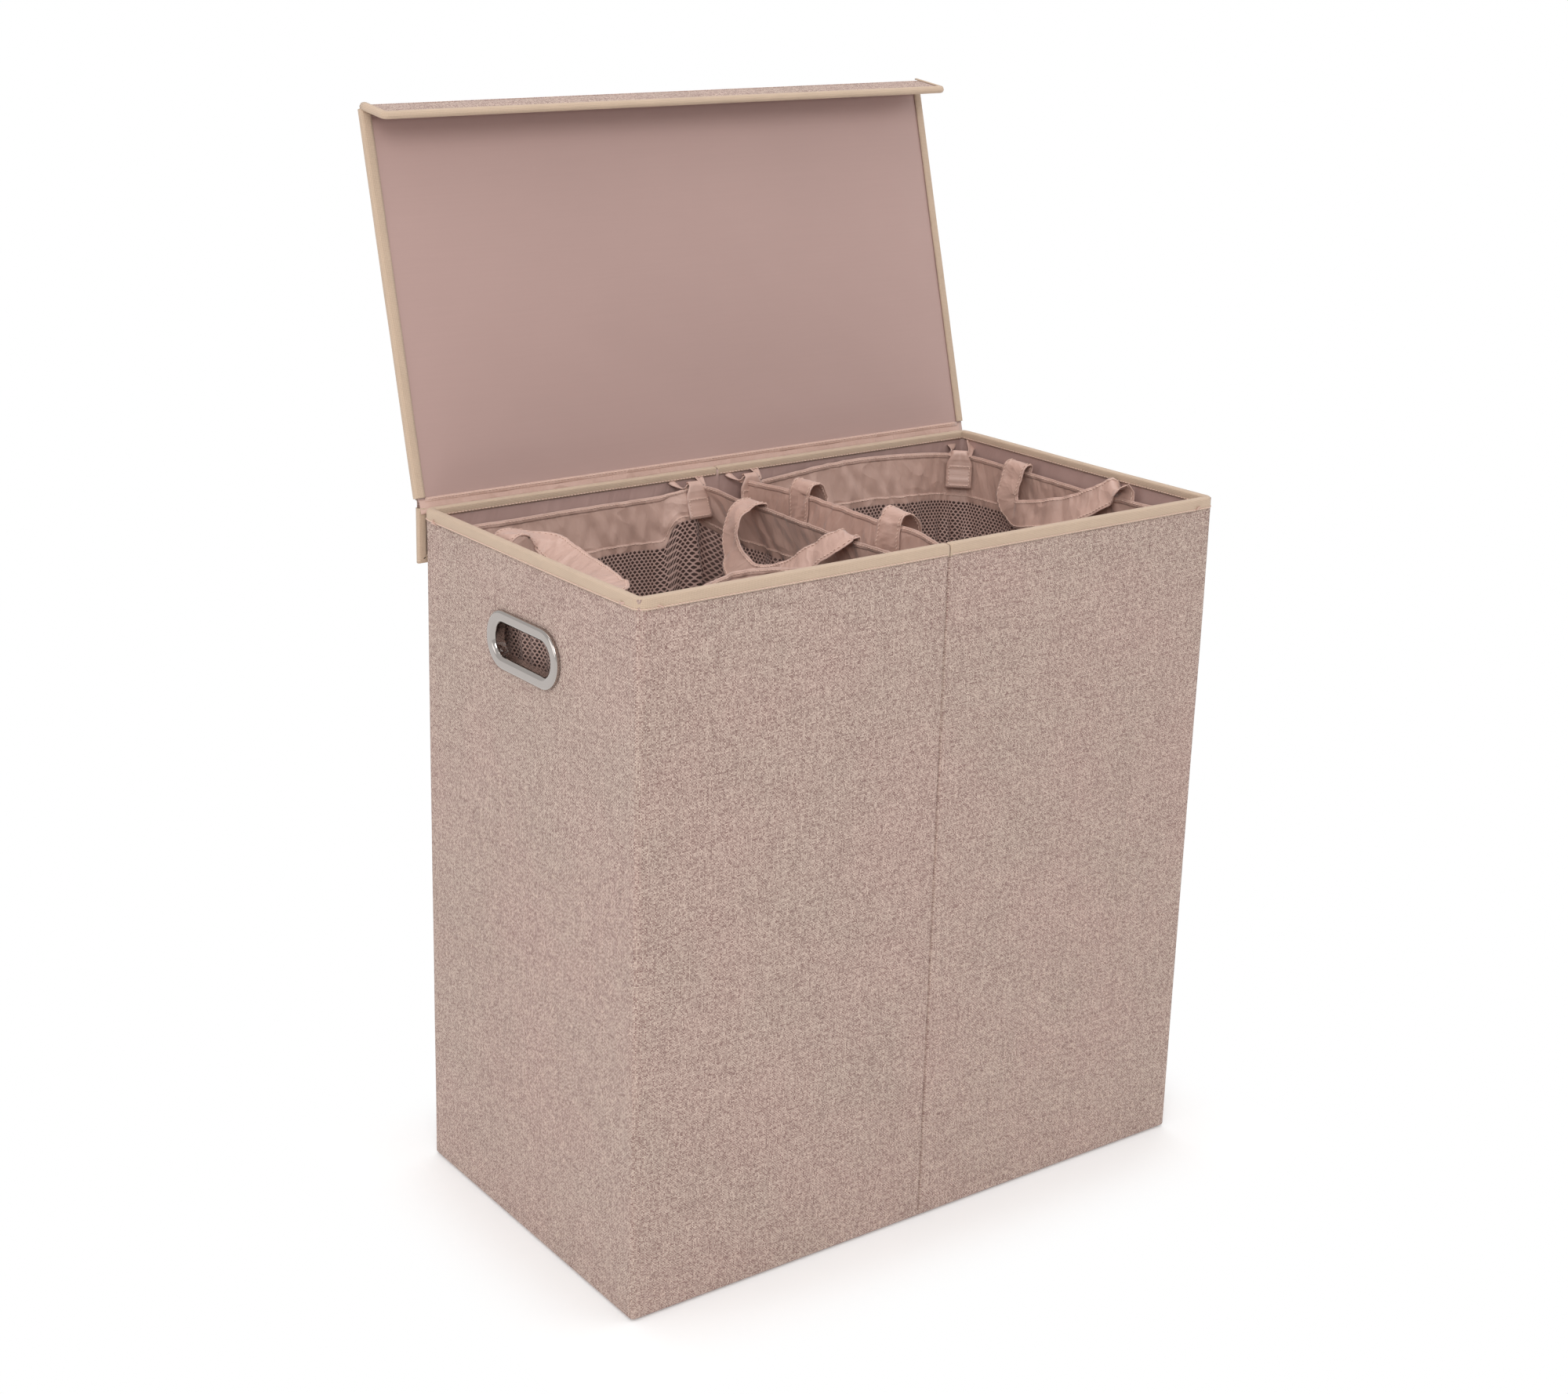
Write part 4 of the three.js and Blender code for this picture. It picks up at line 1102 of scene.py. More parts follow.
def smooth_profile(points, rounds, steps=4):
    """A closed profile through points, each corner rounded by a radius."""
    profile = []
    count = len(points)
    for i, (corner, radius) in enumerate(zip(points, rounds)):
        here = Vector(corner)
        before = (Vector(points[i - 1]) - here).normalized()
        after = (Vector(points[(i + 1) % count]) - here).normalized()
        for step in range(steps + 1):
            t = step / steps
            profile.append((here + before * radius).lerp(here, t).lerp(here.lerp(here + after * radius, t), t))
    return profile


def oval_ring(name, node, profile, side):
    """A ring round the grip's oval opening, from a profile of outward and height off the wall."""
    radius = grip_opening_radius
    track = Track(grip_straight + radius, radius, radius * 0.97)
    reach = 22
    bends = [(c - reach, c + reach, 1.3) for c in track.corners if c > reach and c + reach < track.length]
    us = stops(track.length, 6.0, bends + [(track.length - 34, track.length, 1.3)])
    count = len(profile)

    def place(u, v):
        outward, height = profile[int(round(v)) % count]
        point, out = track.at(u)
        return Vector((side * (cover_high.x + height), side * (point.x + out.x * outward),
                       grip_z + point.y + out.y * outward))

    mesh = grid(us, list(range(count + 1)), place, True)
    bmesh.ops.recalc_face_normals(mesh, faces=mesh.faces[:])
    settle(new_object(name, mesh, "chrome"), "box", [node])


def grips():
    """Pressed flange with its sleeve outside each end wall, and the ring that it snaps into inside."""
    rise = grip_high.x - cover_high.x
    back = grip_back_low.x - cover_high.x
    front = grip_back_high.x - cover_high.x
    sleeve, lift = back + 0.2, 0.35
    flange = [(0, sleeve), (1.5, sleeve), (1.5, lift), (grip_flange, lift), (grip_flange, rise - 1.2),
              (grip_flange - 1.9, rise), (2.6, rise), (0, rise - 2.6)]
    flange_rounds = [0.4, 0.4, 0.1, 0.2, 0.8, 0.9, 1.3, 1.6]
    inner = 1.8
    ring = [(inner, front), (inner, back), (inner + 6.4, back), (inner + 8, front - 1.1), (inner + 8, front)]
    ring_rounds = [0.2, 0.6, 0.8, 0.5, 0.2]
    for side, name in ((-1, "left"), (1, "right")):
        oval_ring(f"grip_flange_{name}", f"grip_ring_{name}", smooth_profile(flange, flange_rounds), side)
        oval_ring(f"grip_washer_{name}", f"grip_back_ring_{name}", smooth_profile(ring, ring_rounds), side)


# Bags

band_rise = band_high.z - band_low.z


def tab_hangers():
    """For each tab: its hinge's place in millimetres and the way from its bag to the wall."""
    hangers = {}
    for name, joint in joint_of.items():
        if name.startswith("tab_"):
            axis, at = Vector(joint["axis"]), Vector(joint["pos_m"]) / MM
            out = Vector((axis.y, -axis.x, 0)).normalized()
            from_bag = Vector((at.x - math.copysign(bag_middle, at.x), at.y, 0))
            hangers[name[:-len("_open")]] = (at, -out if out.dot(from_bag) < 0 else out)
    return hangers


hangers = tab_hangers()


class Loop:
    """A smooth closed line through given points, each with its own extra values."""

    def __init__(self, keys, steps=12):
        self.points = []
        count = len(keys)
        for i in range(count):
            a, b, c, d = (Vector(keys[(i + j) % count]) for j in (-1, 0, 1, 2))
            self.points += [catmull(a, b, c, d, s / steps) for s in range(steps)]
        self.places = [0.0]
        for i, point in enumerate(self.points):
            after = self.points[(i + 1) % len(self.points)]
            self.places.append(self.places[-1] + (after.xy - point.xy).length)
        self.length = self.places[-1]

    def at(self, place):
        """The point at a place along the line, with its extra values."""
        place = place % self.length
        low, high = 0, len(self.places) - 1
        while high - low > 1:
            middle = (low + high) // 2
            if self.places[middle] <= place:
                low = middle
            else:
                high = middle
        gap = self.places[low + 1] - self.places[low]
        t = (place - self.places[low]) / gap if gap else 0
        return self.points[low].lerp(self.points[(low + 1) % len(self.points)], t)

    def out(self, place):
        """The way outwards, level."""
        way = (self.at(place + 1).xy - self.at(place - 1).xy).normalized()
        return Vector((way.y, -way.x, 0))

    def nearest(self, point):
        """The place along the line that is nearest to a point."""
        steps = [self.length * i / 720 for i in range(720)]
        return min(steps, key=lambda s: (self.at(s).xy - point.xy).length)


def catmull(a, b, c, d, t):
    """A point between b and c on a smooth line through four points."""
    return 0.5 * (2 * b + (c - a) * t + (2 * a - 5 * b + 4 * c - d) * t * t + (3 * b - a - 3 * c + d) * t ** 3)


# Middle line of each band at its top edge: x, y, z, how far its foot stands outwards and how far it is drawn up
bag_keys = {
    "right": [
        (22, -152, 601, 0, 0), (34, -153.5, 600.9, 0, 0), (80, -149, 603, 1, 0), (150, -144, 604, 2, 0),
        (225, -149, 602, 1, 0), (270, -153.5, 601, 0, 0), (284.5, -142.5, 600.9, 0, 0),
        (292.5, -129, 601, 0, 0), (291, -95, 600, 3, 0), (287, -45, 600, 6, 0), (288, 5, 600.5, 5, 0),
        (289, 50, 601, 3, 0), (291.5, 98, 601, 1, 0), (292.5, 129, 601, 0, 0), (284.5, 142.5, 600.9, -1, 0),
        (270, 152.5, 603, -4, 0), (225, 152.5, 607, -7, 0), (165, 152, 610.5, -6, 0), (110, 152, 609, -4, 0),
        (60, 153, 604, -2, 0), (34, 153, 601.5, -1, 0), (27, 149, 605.5, 0, 0), (31, 130, 606.5, 2, 0),
        (34, 93, 608, 4, 0), (31, 20, 608, 6, 0), (29, -40, 608, 5, 0), (32, -85, 608, 4, 0),
        (24, -125, 605, 2, 0), (18, -145, 602, 0, 0),
    ],
    "left": [
        (-270, -153.5, 601, 0, 0), (-240, -132, 601, 4, 0), (-186, -99, 601, 10, 0), (-150, -92, 601.5, 10, 0),
        (-112, -110, 601, 6, 0), (-60, -148, 601, 1, 0), (-34, -153.5, 600.9, 0, 0), (-19, -149, 602, 4, 0),
        (-18, -110, 602, 10, 0), (-18, -60, 601.5, 13, 0), (-18, 0, 603, 16, 0), (-18, 60, 604, 15, 0),
        (-18, 110, 605, 14, 0), (-19, 140, 607, 12, 2), (-30, 151, 607, -6, 17), (-46, 150, 606, -10, 21),
        (-58, 151, 604.5, -10, 20), (-66, 152.5, 603, -8, 3), (-76, 153, 602.5, -6, -1),
        (-90, 154, 602, -4, 0), (-150, 154.5, 602, -4, 0), (-205, 154.5, 602, -4, 0),
        (-252, 154, 602, -3, 0), (-270, 152.5, 601.5, -2, 0), (-284.5, 142.5, 600.9, 0, 0),
        (-292.5, 129, 601, 0, 0), (-291, 90, 600.5, 1, 0), (-290, 30, 600.5, 3, 0), (-289, -30, 600.5, 4, 0),
        (-291, -90, 601, 1, 0), (-292.5, -129, 601, 0, 0), (-284.5, -142.5, 600.9, 0, 0),
    ],
}


class Band:
    """The cloth band round one bag's mouth, from its top edge at v = 0 down to its foot."""

    def __init__(self, name):
        self.name = name
        self.body = f"bag_{name}"
        self.seed = 11.0 if name == "right" else 23.0
        self.loop = Loop(bag_keys[name])
        tabs_at = [at for key, (at, _) in hangers.items() if key.startswith(f"tab_{name}")]
        self.tab_places = [self.loop.nearest(at) for at in tabs_at]

    def from_tab(self, u):
        """Distance along the band to the nearest tab."""
        length = self.loop.length
        return min(min(abs(u - t), length - abs(u - t)) for t in self.tab_places)

    def point(self, u, v, extra=0.0):
        """The place on the wrinkled band, calm at its tabs and its seam, lifted outwards by extra."""
        at = self.loop.at(u)
        down = v / band_rise
        from_start = u % self.loop.length
        near = max(hump(self.from_tab(u), 14), hump(min(from_start, self.loop.length - from_start), 16))
        seed = self.seed
        wave = 2.0 * ripple(u / 42, v / 90, seed) + 2.4 * down * ripple(u / 50, 0.2, seed + 7)
        wave += 3.4 * (0.3 - abs(ripple((u + v * 0.5) / 19, v / 60, seed + 3)) * 2)
        wave += 1.5 * ripple((u - v * 0.3) / 9, v / 45, seed + 13)
        gather = 0.7 * hump(v, 14) + hump(v - band_rise, 17)
        wave += 0.9 * gather * ripple(u / 3.6, v / 24, seed + 5)
        outward = at[3] * down + (wave * (0.4 + 0.6 * down) - 0.8) * (1 - near) + extra
        drop = 1.0 * ripple(u / 55, 3.3, seed) * (1 - near) + at[4] * down
        return Vector((at.x, at.y, at.z + drop - v)) + self.loop.out(u) * outward


def bag_band(name):
    """The band of one bag, with a hem on both faces of its top edge and its foot."""
    band = Band(name)
    length = band.loop.length
    columns = stops(length, 1.9)
    mesh = grid(columns, stops(band_rise, 3.4), band.point, True)
    bmesh.ops.reverse_faces(mesh, faces=mesh.faces[:])
    cloth(f"bag_band_cloth_{name}", mesh, "polyester", 0.6, band.body, [f"bag_band_{name}"], (length, band_rise),
          "hung", [f"tab_{name}_back_inner"], offset=0.0, sewn_on=lambda: band_hems(band, columns))


def band_hems(band, columns):
    """The hems of a band and their seams."""
    made = []
    for label, low, high, seam_at in (
            ("top", -0.2, 5, 1.8), ("foot", band_rise - 8.5, band_rise + 0.4, band_rise - 7)):
        for face, sign in (("inner", -1), ("outer", 1)):
            def place(u, v, low=low, sign=sign):
                return band.point(u, low + v, sign * 0.42)

            def line(u, v=seam_at, sign=sign):
                return band.point(u + 1, v, sign * 0.6), band.loop.out(u + 1) * sign

            mesh = grid(columns, stops(high - low, 2.2), place, True)
            if sign > 0:
                bmesh.ops.reverse_faces(mesh, faces=mesh.faces[:])
            hem = new_object(f"band_hem_{label}_{face}_{band.name}", mesh, "polyester")
            thicken(hem, 0.3, 0.0)
            made.append(settle(hem, band.body))
            made.append(stitches(f"band_stitches_{label}_{face}_{band.name}", band.body, band.loop.length - 2, line))
    return made


def bag_net(name):
    """Net that hangs from the band, drawn into pleats under the tabs, with a rounded foot and a flat floor."""
    band = Band(name)
    loop = band.loop
    side = 1 if name == "right" else -1
    hang = band_high.z - band_rise - net_low.z
    bottom_inset, bottom_radius = 13, 20
    pleat_reach, pleat_pitch, pleat_depth = 58, 23, 8
    arc = bottom_radius * math.pi / 2
    low_half_x = (net_high.x - net_low.x) / 2
    low_half_y = (net_high.y - net_low.y) / 2
    middle_x = side * (net_high.x + net_low.x) / 2
    floor_reach = 150
    side_length = hang - bottom_radius

    def net_place(u, v):
        top = band.point(u, band_rise - 1.5)
        out = loop.out(u)
        near = hump(band.from_tab(u), pleat_reach)
        down = min(v / side_length, 1)
        open_up = eased(v / 60)
        pleat = math.cos(math.tau * band.from_tab(u) / pleat_pitch) * pleat_depth * near
        pleat += 3.2 * ripple(u / 30, v / 260, band.seed + 5) + 1.6 * ripple(u / 13, v / 140, band.seed + 9)
        offset = -bottom_inset * down - 2.5 + (pleat - 6.5 * near) * open_up * (1 - 0.55 * down)
        offset -= 1.75 * math.sin(math.pi * down)
        z = top.z - v * (top.z - net_low.z - bottom_radius) / side_length
        if v <= side_length:
            return Vector((top.x, top.y, z)) + out * offset
        foot = Vector((top.x, top.y, 0)) + out * offset
        past = v - side_length
        angle = min(past, arc) / bottom_radius
        z = net_low.z + bottom_radius * (1 - math.sin(angle)) + 0.6
        inward = bottom_radius * (1 - math.cos(angle)) + max(past - arc, 0)
        centre = Vector((middle_x, 0, 0))
        slide = foot - centre
        share_x = max(1 - inward / low_half_x, 0)
        share_y = max(1 - inward / low_half_y, 0)
        floor_wave = 0.8 * ripple(slide.x * share_x / 40, slide.y * share_y / 40, band.seed) if past > arc else 0
        return Vector((centre.x + slide.x * share_x, slide.y * share_y, z + floor_wave + 0.6))

    down_length = side_length + arc + floor_reach
    rows = stops(down_length, 24.0, [(0, 80, 8), (side_length, side_length + arc, 5)])
    mesh = grid(stops(loop.length, 4.0), rows, net_place, True)
    # The floor's map lies flat, so that its holes keep their size
    cloth_map = mesh.loops.layers.uv["cloth"]
    rim = [e for e in mesh.edges if e.is_boundary and e.verts[0].co.z < (net_low.z + 30) * MM]
    bmesh.ops.holes_fill(mesh, edges=rim)
    for face in mesh.faces:
        if face.calc_center_median().z < (net_low.z + 3.2) * MM:
            for corner in face.loops:
                corner[cloth_map].uv = corner.vert.co.xy
    bmesh.ops.reverse_faces(mesh, faces=mesh.faces[:])
    area = loop.length * (side_length + arc) + 4 * low_half_x * low_half_y * 0.9
    cloth(f"bag_net_cloth_{name}", mesh, "net", None, band.body, [f"bag_net_{name}"],
          (loop.length, down_length), "hung", [f"bag_band_cloth_{name}"], area=area * MM * MM)


# Straps


class Ribbon:
    """A narrow strip along a smooth line of keys: point and the way across, in millimetres."""

    def __init__(self, keys, steps=10):
        self.rows = []
        for i in range(len(keys) - 1):
            picks = [keys[min(max(i + j, 0), len(keys) - 1)] for j in (-1, 0, 1, 2)]
            for s in range(steps):
                t = s / steps
                point = catmull(*[Vector(k[0]) for k in picks], t)
                across = catmull(*[Vector(k[1]) for k in picks], t)
                self.rows.append((point, across))
        self.rows.append((Vector(keys[-1][0]), Vector(keys[-1][1])))
        self.places = [0.0]
        for (a, _), (b, _) in zip(self.rows, self.rows[1:]):
            self.places.append(self.places[-1] + (b - a).length)
        self.length = self.places[-1]

    def frame(self, place):
        """Point, way across and way out of the face."""
        i = 0
        while i < len(self.places) - 2 and self.places[i + 1] < place:
            i += 1
        gap = self.places[i + 1] - self.places[i]
        t = min(max((place - self.places[i]) / gap, 0), 1) if gap else 0
        point = self.rows[i][0].lerp(self.rows[i + 1][0], t)
        across = self.rows[i][1].lerp(self.rows[i + 1][1], t)
        way = (self.rows[i + 1][0] - self.rows[i][0]).normalized()
        across = (across - way * across.dot(way)).normalized()
        return point, across, way.cross(across)


Y = (0, 1, 0)
Y_BACK = (0, -1, 0)
strap_width = 28
sewn_length = 38
strap_off_band = 1.75
strap_seam_inset = 2.6
# Middle line of each strap and the way across it, from the band's top edge over to the band's top edge again
strap_keys = {
    "left_outer": [
        ((-292.5, 61, 601), Y), ((-292.5, 61, 609), Y), ((-289, 61, 616), Y),
        ((-280, 61, 617.5), Y), ((-266, 60, 614.5), (0.2, 0.97, 0.1)),
        ((-255, 48, 609), (0.8, 0.5, 0.4)), ((-254, 22, 603), (0.9, 0.12, 0.4)),
        ((-255, -8, 600), (0.94, 0, 0.28)), ((-258, -38, 599.5), (0.88, -0.35, 0.15)),
        ((-265, -64, 601), (0.6, -0.8, 0.1)), ((-274, -78, 603), (0.2, -1, 0)), ((-284, -82, 605), Y_BACK),
        ((-291.5, -82, 604), Y_BACK), ((-293, -82, 598), Y_BACK),
    ],
    "left_inner": [
        ((-16.5, 72, 603), Y), ((-18.5, 72, 607.5), Y), ((-28, 72, 606.5), Y),
        ((-40, 71.5, 601), (0.25, 0.97, 0)), ((-49, 68, 588), (0.35, 0.93, 0.05)),
        ((-54, 60, 573), (0.1, 0.95, -0.2)), ((-60, 44, 560), (-0.4, 0.6, -0.6)),
        ((-63, 20, 555), (-0.6, 0.1, -0.8)), ((-57, -6, 562), (-0.5, -0.55, -0.65)),
        ((-47, -26, 574), (-0.35, -0.85, -0.3)), ((-36, -43, 591), (-0.2, -0.97, -0.1)),
        ((-27, -54, 601), (-0.1, -1, 0)), ((-18.5, -58, 606), Y_BACK), ((-15.5, -58, 601), Y_BACK),
    ],
    "right_inner": [
        ((32.5, 75.5, 603), Y), ((33, 75.5, 611), Y), ((37, 75.5, 617), Y), ((45, 75, 617.5), (0, 1, 0.02)),
        ((51, 73, 609), (0, 1, 0.05)), ((54, 68, 595), (0, 0.97, 0.2)), ((60, 50, 580), (0, 0.8, 0.6)),
        ((66, 15, 570), (0.1, 0.3, 0.95)), ((66, -15, 570), (0.1, -0.3, 0.93)),
        ((60, -42, 582), (0, -0.85, 0.5)), ((54, -52, 600), (0, -0.97, 0.15)), ((49, -54, 614), Y_BACK),
        ((41, -54, 618.5), Y_BACK), ((34, -54, 616.5), Y_BACK), ((31, -54, 611), Y_BACK),
        ((30, -54, 603), Y_BACK),
    ],
    "right_outer": [
        ((292.5, 61, 601), Y), ((291, 61, 607), Y), ((285, 61.5, 606.5), Y), ((280, 62, 597), Y),
        ((276.5, 62, 586), Y), ((275, 62, 577), Y), ((273.5, 56.5, 568.5), (0, 0.72, -0.69)),
        ((272, 47, 563), (0, 0.02, -1)), ((270, 25, 567), (-0.25, -0.2, -0.95)),
        ((271, 0, 573.5), (-0.25, -0.2, -0.95)), ((274, -22, 581), (-0.3, -0.25, -0.92)),
        ((278, -40, 590), (-0.35, -0.3, -0.85)), ((283, -54, 599), (-0.35, -0.6, -0.6)),
        ((287, -64, 606.5), (-0.15, -0.95, -0.2)), ((291, -70, 606), Y_BACK), ((292.5, -71, 601), Y_BACK),
    ],
}


class Strap:
    """A limp strap: both ends sewn flat on the outside of the band, the free part along its keys."""

    def __init__(self, key):
        self.band = Band(key.split("_")[0])
        keys = list(strap_keys[key])
        self.ends = []
        for index in (0, -1):
            point, across = Vector(keys[index][0]), Vector(keys[index][1])
            place = self.band.loop.nearest(point)
            way = (self.band.loop.at(place + 1).xy - self.band.loop.at(place - 1).xy).normalized()
            sense = 1 if way.dot(across.xy) > 0 else -1
            self.ends.append((place, sense))
            keys[index] = (tuple(self.band.point(place, 0, strap_off_band)), tuple((way * sense).to_3d()))
        self.free = Ribbon(keys)
        self.length = self.free.length + 2 * sewn_length
        self.seed = len(key) + self.free.length / 50

    def place(self, u, v, lift=0.0):
        """The point on the strap and the way out of its face."""
        aside = v - strap_width / 2
        if sewn_length < u < self.length - sewn_length:
            u -= sewn_length
            point, across, out = self.free.frame(u)
            calm = eased(u / 20) * eased((self.free.length - u) / 20)
            edge = ((v / strap_width) * 2 - 1) ** 2
            curl = 1.6 * edge * ripple(u / 40, 0.5, self.seed) + 0.7 * edge * ripple(u / 6, v / 9, self.seed + 4)
            crumple = 2.6 * (0.3 - abs(ripple(u / 26, v / 34 + u / 60, self.seed)) * 2)
            crumple += 0.8 * ripple(u / 11, v / 13, self.seed)
            seam = -0.3 * (hump(v - strap_seam_inset, 1.6) + hump(strap_width - strap_seam_inset - v, 1.6))
            return point + across * aside + out * ((curl + crumple + seam) * calm + lift), out
        first = u <= sewn_length
        place, sense = self.ends[0 if first else 1]
        depth = sewn_length - u if first else u - (self.length - sewn_length)
        along = place + sense * aside
        out = self.band.loop.out(along) * sense * (-1 if first else 1)
        return self.band.point(along, depth, strap_off_band) + out * lift, out


def straps():
    """The four straps, each sewn to its band, with a seam along both edges."""
    for key in strap_keys:
        strap = Strap(key)
        mesh = grid(stops(strap.length, 2.0, [(sewn_length - 4, sewn_length + 8, 1.2)]), stops(strap_width, 1.3),
                    lambda u, v: strap.place(u, v)[0])
        piece = new_object(f"strap_cloth_{key}", mesh, "polyester")
        thicken(piece, 0.9, 0.0)
        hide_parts(f"strap_{key}")
        pieces = [piece]
        for label, v in (("near", strap_seam_inset), ("far", strap_width - strap_seam_inset)):
            for face, sign in (("down", -1), ("up", 1)):
                def line(u, v=v, sign=sign):
                    point, out = strap.place(u + seam_trim, v, sign * 0.55)
                    return point, out * sign

                name = f"strap_stitches_{key}_{label}_{face}"
                pieces.append(thread_line(name, strap.length - 2 * seam_trim, line))
        for each in pieces:
            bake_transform(each)


# Tabs and ribbon loops


# How far a tab's fold stands over its hinge
tab_rise = {"inner": 8.0, "outer": 1.5}


def tab_piece(key, at, out, along):
    """A strip of cloth folded over its ribbon loop: the back leg is sewn to the band, the front leg hangs."""
    roll = 1.9
    length = 30 if key.endswith("inner") else 34
    neck_width, full_width = 14, 25
    arc = roll * math.pi
    total = arc + length
    seed = at.x / 40 + at.y / 60
    tilt = 0.3 if key == "tab_left_back_inner" else 0.06

    def place(u, v, lift=0.0):
        share = v - 0.5
        down = max(u - arc, 0)
        width = neck_width + (full_width - neck_width) * eased((down + 2) / 14)
        if u < arc:
            angle = u / roll
            outward, up = -roll + (roll + lift) * math.cos(angle), (roll + lift) * math.sin(angle)
        else:
            pucker = 0.8 * math.cos(share * math.tau * 1.5) * eased((15 - down) / 15)
            curl = -2.0 * eased((down - 14) / 20) * (0.7 + 0.6 * ripple(seed, 2.0))
            outward = -2 * roll - lift - 1.2 + pucker + curl - down * tilt
            up = -down
        return at + out * outward + along * (share * width) + upward(up)

    mesh = grid(stops(total, 2.2, [(0, arc, 0.6)]), [i / 8 for i in range(9)], place)
    name, flat, bag_name = f"{key}_cloth", (total, full_width), key.split("_")[1]
    rests_on = [f"bag_band_cloth_{bag_name}"]
    if key.endswith("inner"):
        hinge = hangers[key][0]
        bending_cloth(name, mesh, "polyester", 1.0, hinge + upward(4), hinge - upward(3),
                      flat, [key], 0.0)
    else:
        cloth(name, mesh, "polyester", 1.0, key, [key], flat, "folded", rests_on, offset=0.0)

    # The seam goes round the square where the two legs are sewn to their fastening
    first, last, near, far = arc + 13, total - 2.5, 0.1, 0.9
    box = [(first, near), (first, far), (last, far), (last, near), (first, near)]
    sides = list(zip(box, box[1:]))
    side_length = 20.0

    def line(u):
        i = min(int(u / side_length), len(sides) - 1)
        (u0, v0), (u1, v1) = sides[i]
        t = min(u / side_length - i, 1)
        return place(u0 + (u1 - u0) * t, v0 + (v1 - v0) * t, 0.5), -out

    stitches(f"{key}_stitches", key, side_length * len(sides), line)


def ribbon_loop(key, at, out, along):
    """Ribbon from under the rim tape through the tab's fold and back up, bunched where the tab holds it."""
    corner = abs(out.x) > 0.1
    reach = 21.0 if corner else inside_high.y - abs(at.y) - 0.8
    top = rim_low.z + 3.4 + (back_rise if out.y > 0 else 0) - at.z
    lean = Vector((-5.0 if out.y > 0 else 0.0, 0, 0))
    # Half of the ribbon from the rim to the fold: beside the tab, leaning, outwards, up, and the way across it
    # as its share beside the tab and its rise
    if corner:
        half_way = [(12, 0, reach, top, 1, 0), (10, 0, reach * 0.7, top * 0.5, 1, -0.4),
                    (9, 0, -1.6, -1.2, 0.6, -0.8), (4, 0, -1.9, -1.6, 0, -1)]
    else:
        half_way = [(15, 1, reach, top, 1, 0), (13.5, 0.6, reach * 0.3, 0.3, 1, -0.3),
                    (10.5, 0.1, -3.2, -3.4, 0.8, -0.6), (5.5, 0, -2.2, -1.6, 0.3, -0.9)]
    keys = []
    for sign in (-1, 1):
        side = along * sign
        legs = [(at + side * beside + lean * leaning + out * outward + upward(up), side * share + upward(rise))
                for beside, leaning, outward, up, share, rise in half_way]
        if sign > 0:
            legs = [(point, way if way.z < -0.7 else Vector((-way.x, -way.y, way.z)))
                    for point, way in reversed(legs)]
        keys += legs
    ribbon = Ribbon([(tuple(point), tuple(way)) for point, way in keys], 6)
    narrow, widening = 5.5, 6.5 if corner else 3.5

    def place(u, v):
        point, across, face = ribbon.frame(u)
        from_fold = abs(u / ribbon.length - 0.5) * 2
        width = narrow + widening * eased((from_fold - 0.4) / 0.5)
        return point + across * (v - 0.5) * width + face * 0.5 * (v - 0.5) ** 2 * width

    mesh = grid(stops(ribbon.length, 1.5), [i / 6 for i in range(7)], place)
    node = key.replace("tab", "ribbon")
    full_width, mean_width = 10, 7
    cloth(f"{node}_cloth", mesh, "polyester", 0.7, "box", [node], (ribbon.length, full_width), "hung",
          ["rim_tape_left" if at.x < 0 else "rim_tape_right"], offset=0.0,
          area=ribbon.length * mean_width * MM * MM)


def tabs():
    """The eight tabs and their ribbon loops."""
    for key, (pivot, out) in hangers.items():
        at = pivot + upward(tab_rise[key.split("_")[-1]])
        along = Vector((-out.y, out.x, 0))
        tab_piece(key, at, out, along)
        ribbon_loop(key, at, out, along)


# Studio


def studio_camera():
    """Camera as fitted to the photograph, which is a crop off the middle of a wider view."""
    azimuth, elevation, roll = (math.radians(a) for a in (-32.56, 15.85, 0.1006))
    distance = 1.92194
    target = Vector((-0.25845, 0, 0.58103))
    back = Vector((math.sin(azimuth) * math.cos(elevation), -math.cos(azimuth) * math.cos(elevation),
                   math.sin(elevation)))
    level = (-back).cross(upward(1)).normalized()
    upright = level.cross(-back)
    right = math.cos(roll) * level + math.sin(roll) * upright
    up = math.cos(roll) * upright - math.sin(roll) * level
    data = bpy.data.cameras.new("camera")
    data.lens, data.sensor_width = 53.723, 36.0
    data.shift_x, data.shift_y = 0.13358, -0.069855
    camera = bpy.data.objects.new("camera", data)
    turn = Matrix((right, up, back)).transposed().to_4x4()
    camera.matrix_world = Matrix.Translation(target + back * distance) @ turn
    bpy.context.scene.collection.objects.link(camera)
    bpy.context.scene.camera = camera


def studio_lamps():
    """Square soft lamps: name, place, target, side in metres and power in watts."""
    for name, place, target, side, power in (
            ("key", (-1.9, -2.3, 2.6), (0, 0, 0.5), 1.6, 42),
            ("left", (-3.0, 0.2, 1.3), (0, 0, 0.4), 1.6, 10),
            ("fill", (2.6, -1.6, 1.8), (0, 0, 0.5), 2.0, 7),
            ("top", (0.2, 0.3, 3.2), (0, 0, 0.6), 1.8, 26)):
        data = bpy.data.lights.new(name, "AREA")
        data.shape, data.size, data.energy = "SQUARE", side, power
        lamp = bpy.data.objects.new(name, data)
        lamp.location = place
        lamp.rotation_euler = (Vector(target) - Vector(place)).to_track_quat("-Z", "Y").to_euler()
        bpy.context.scene.collection.objects.link(lamp)


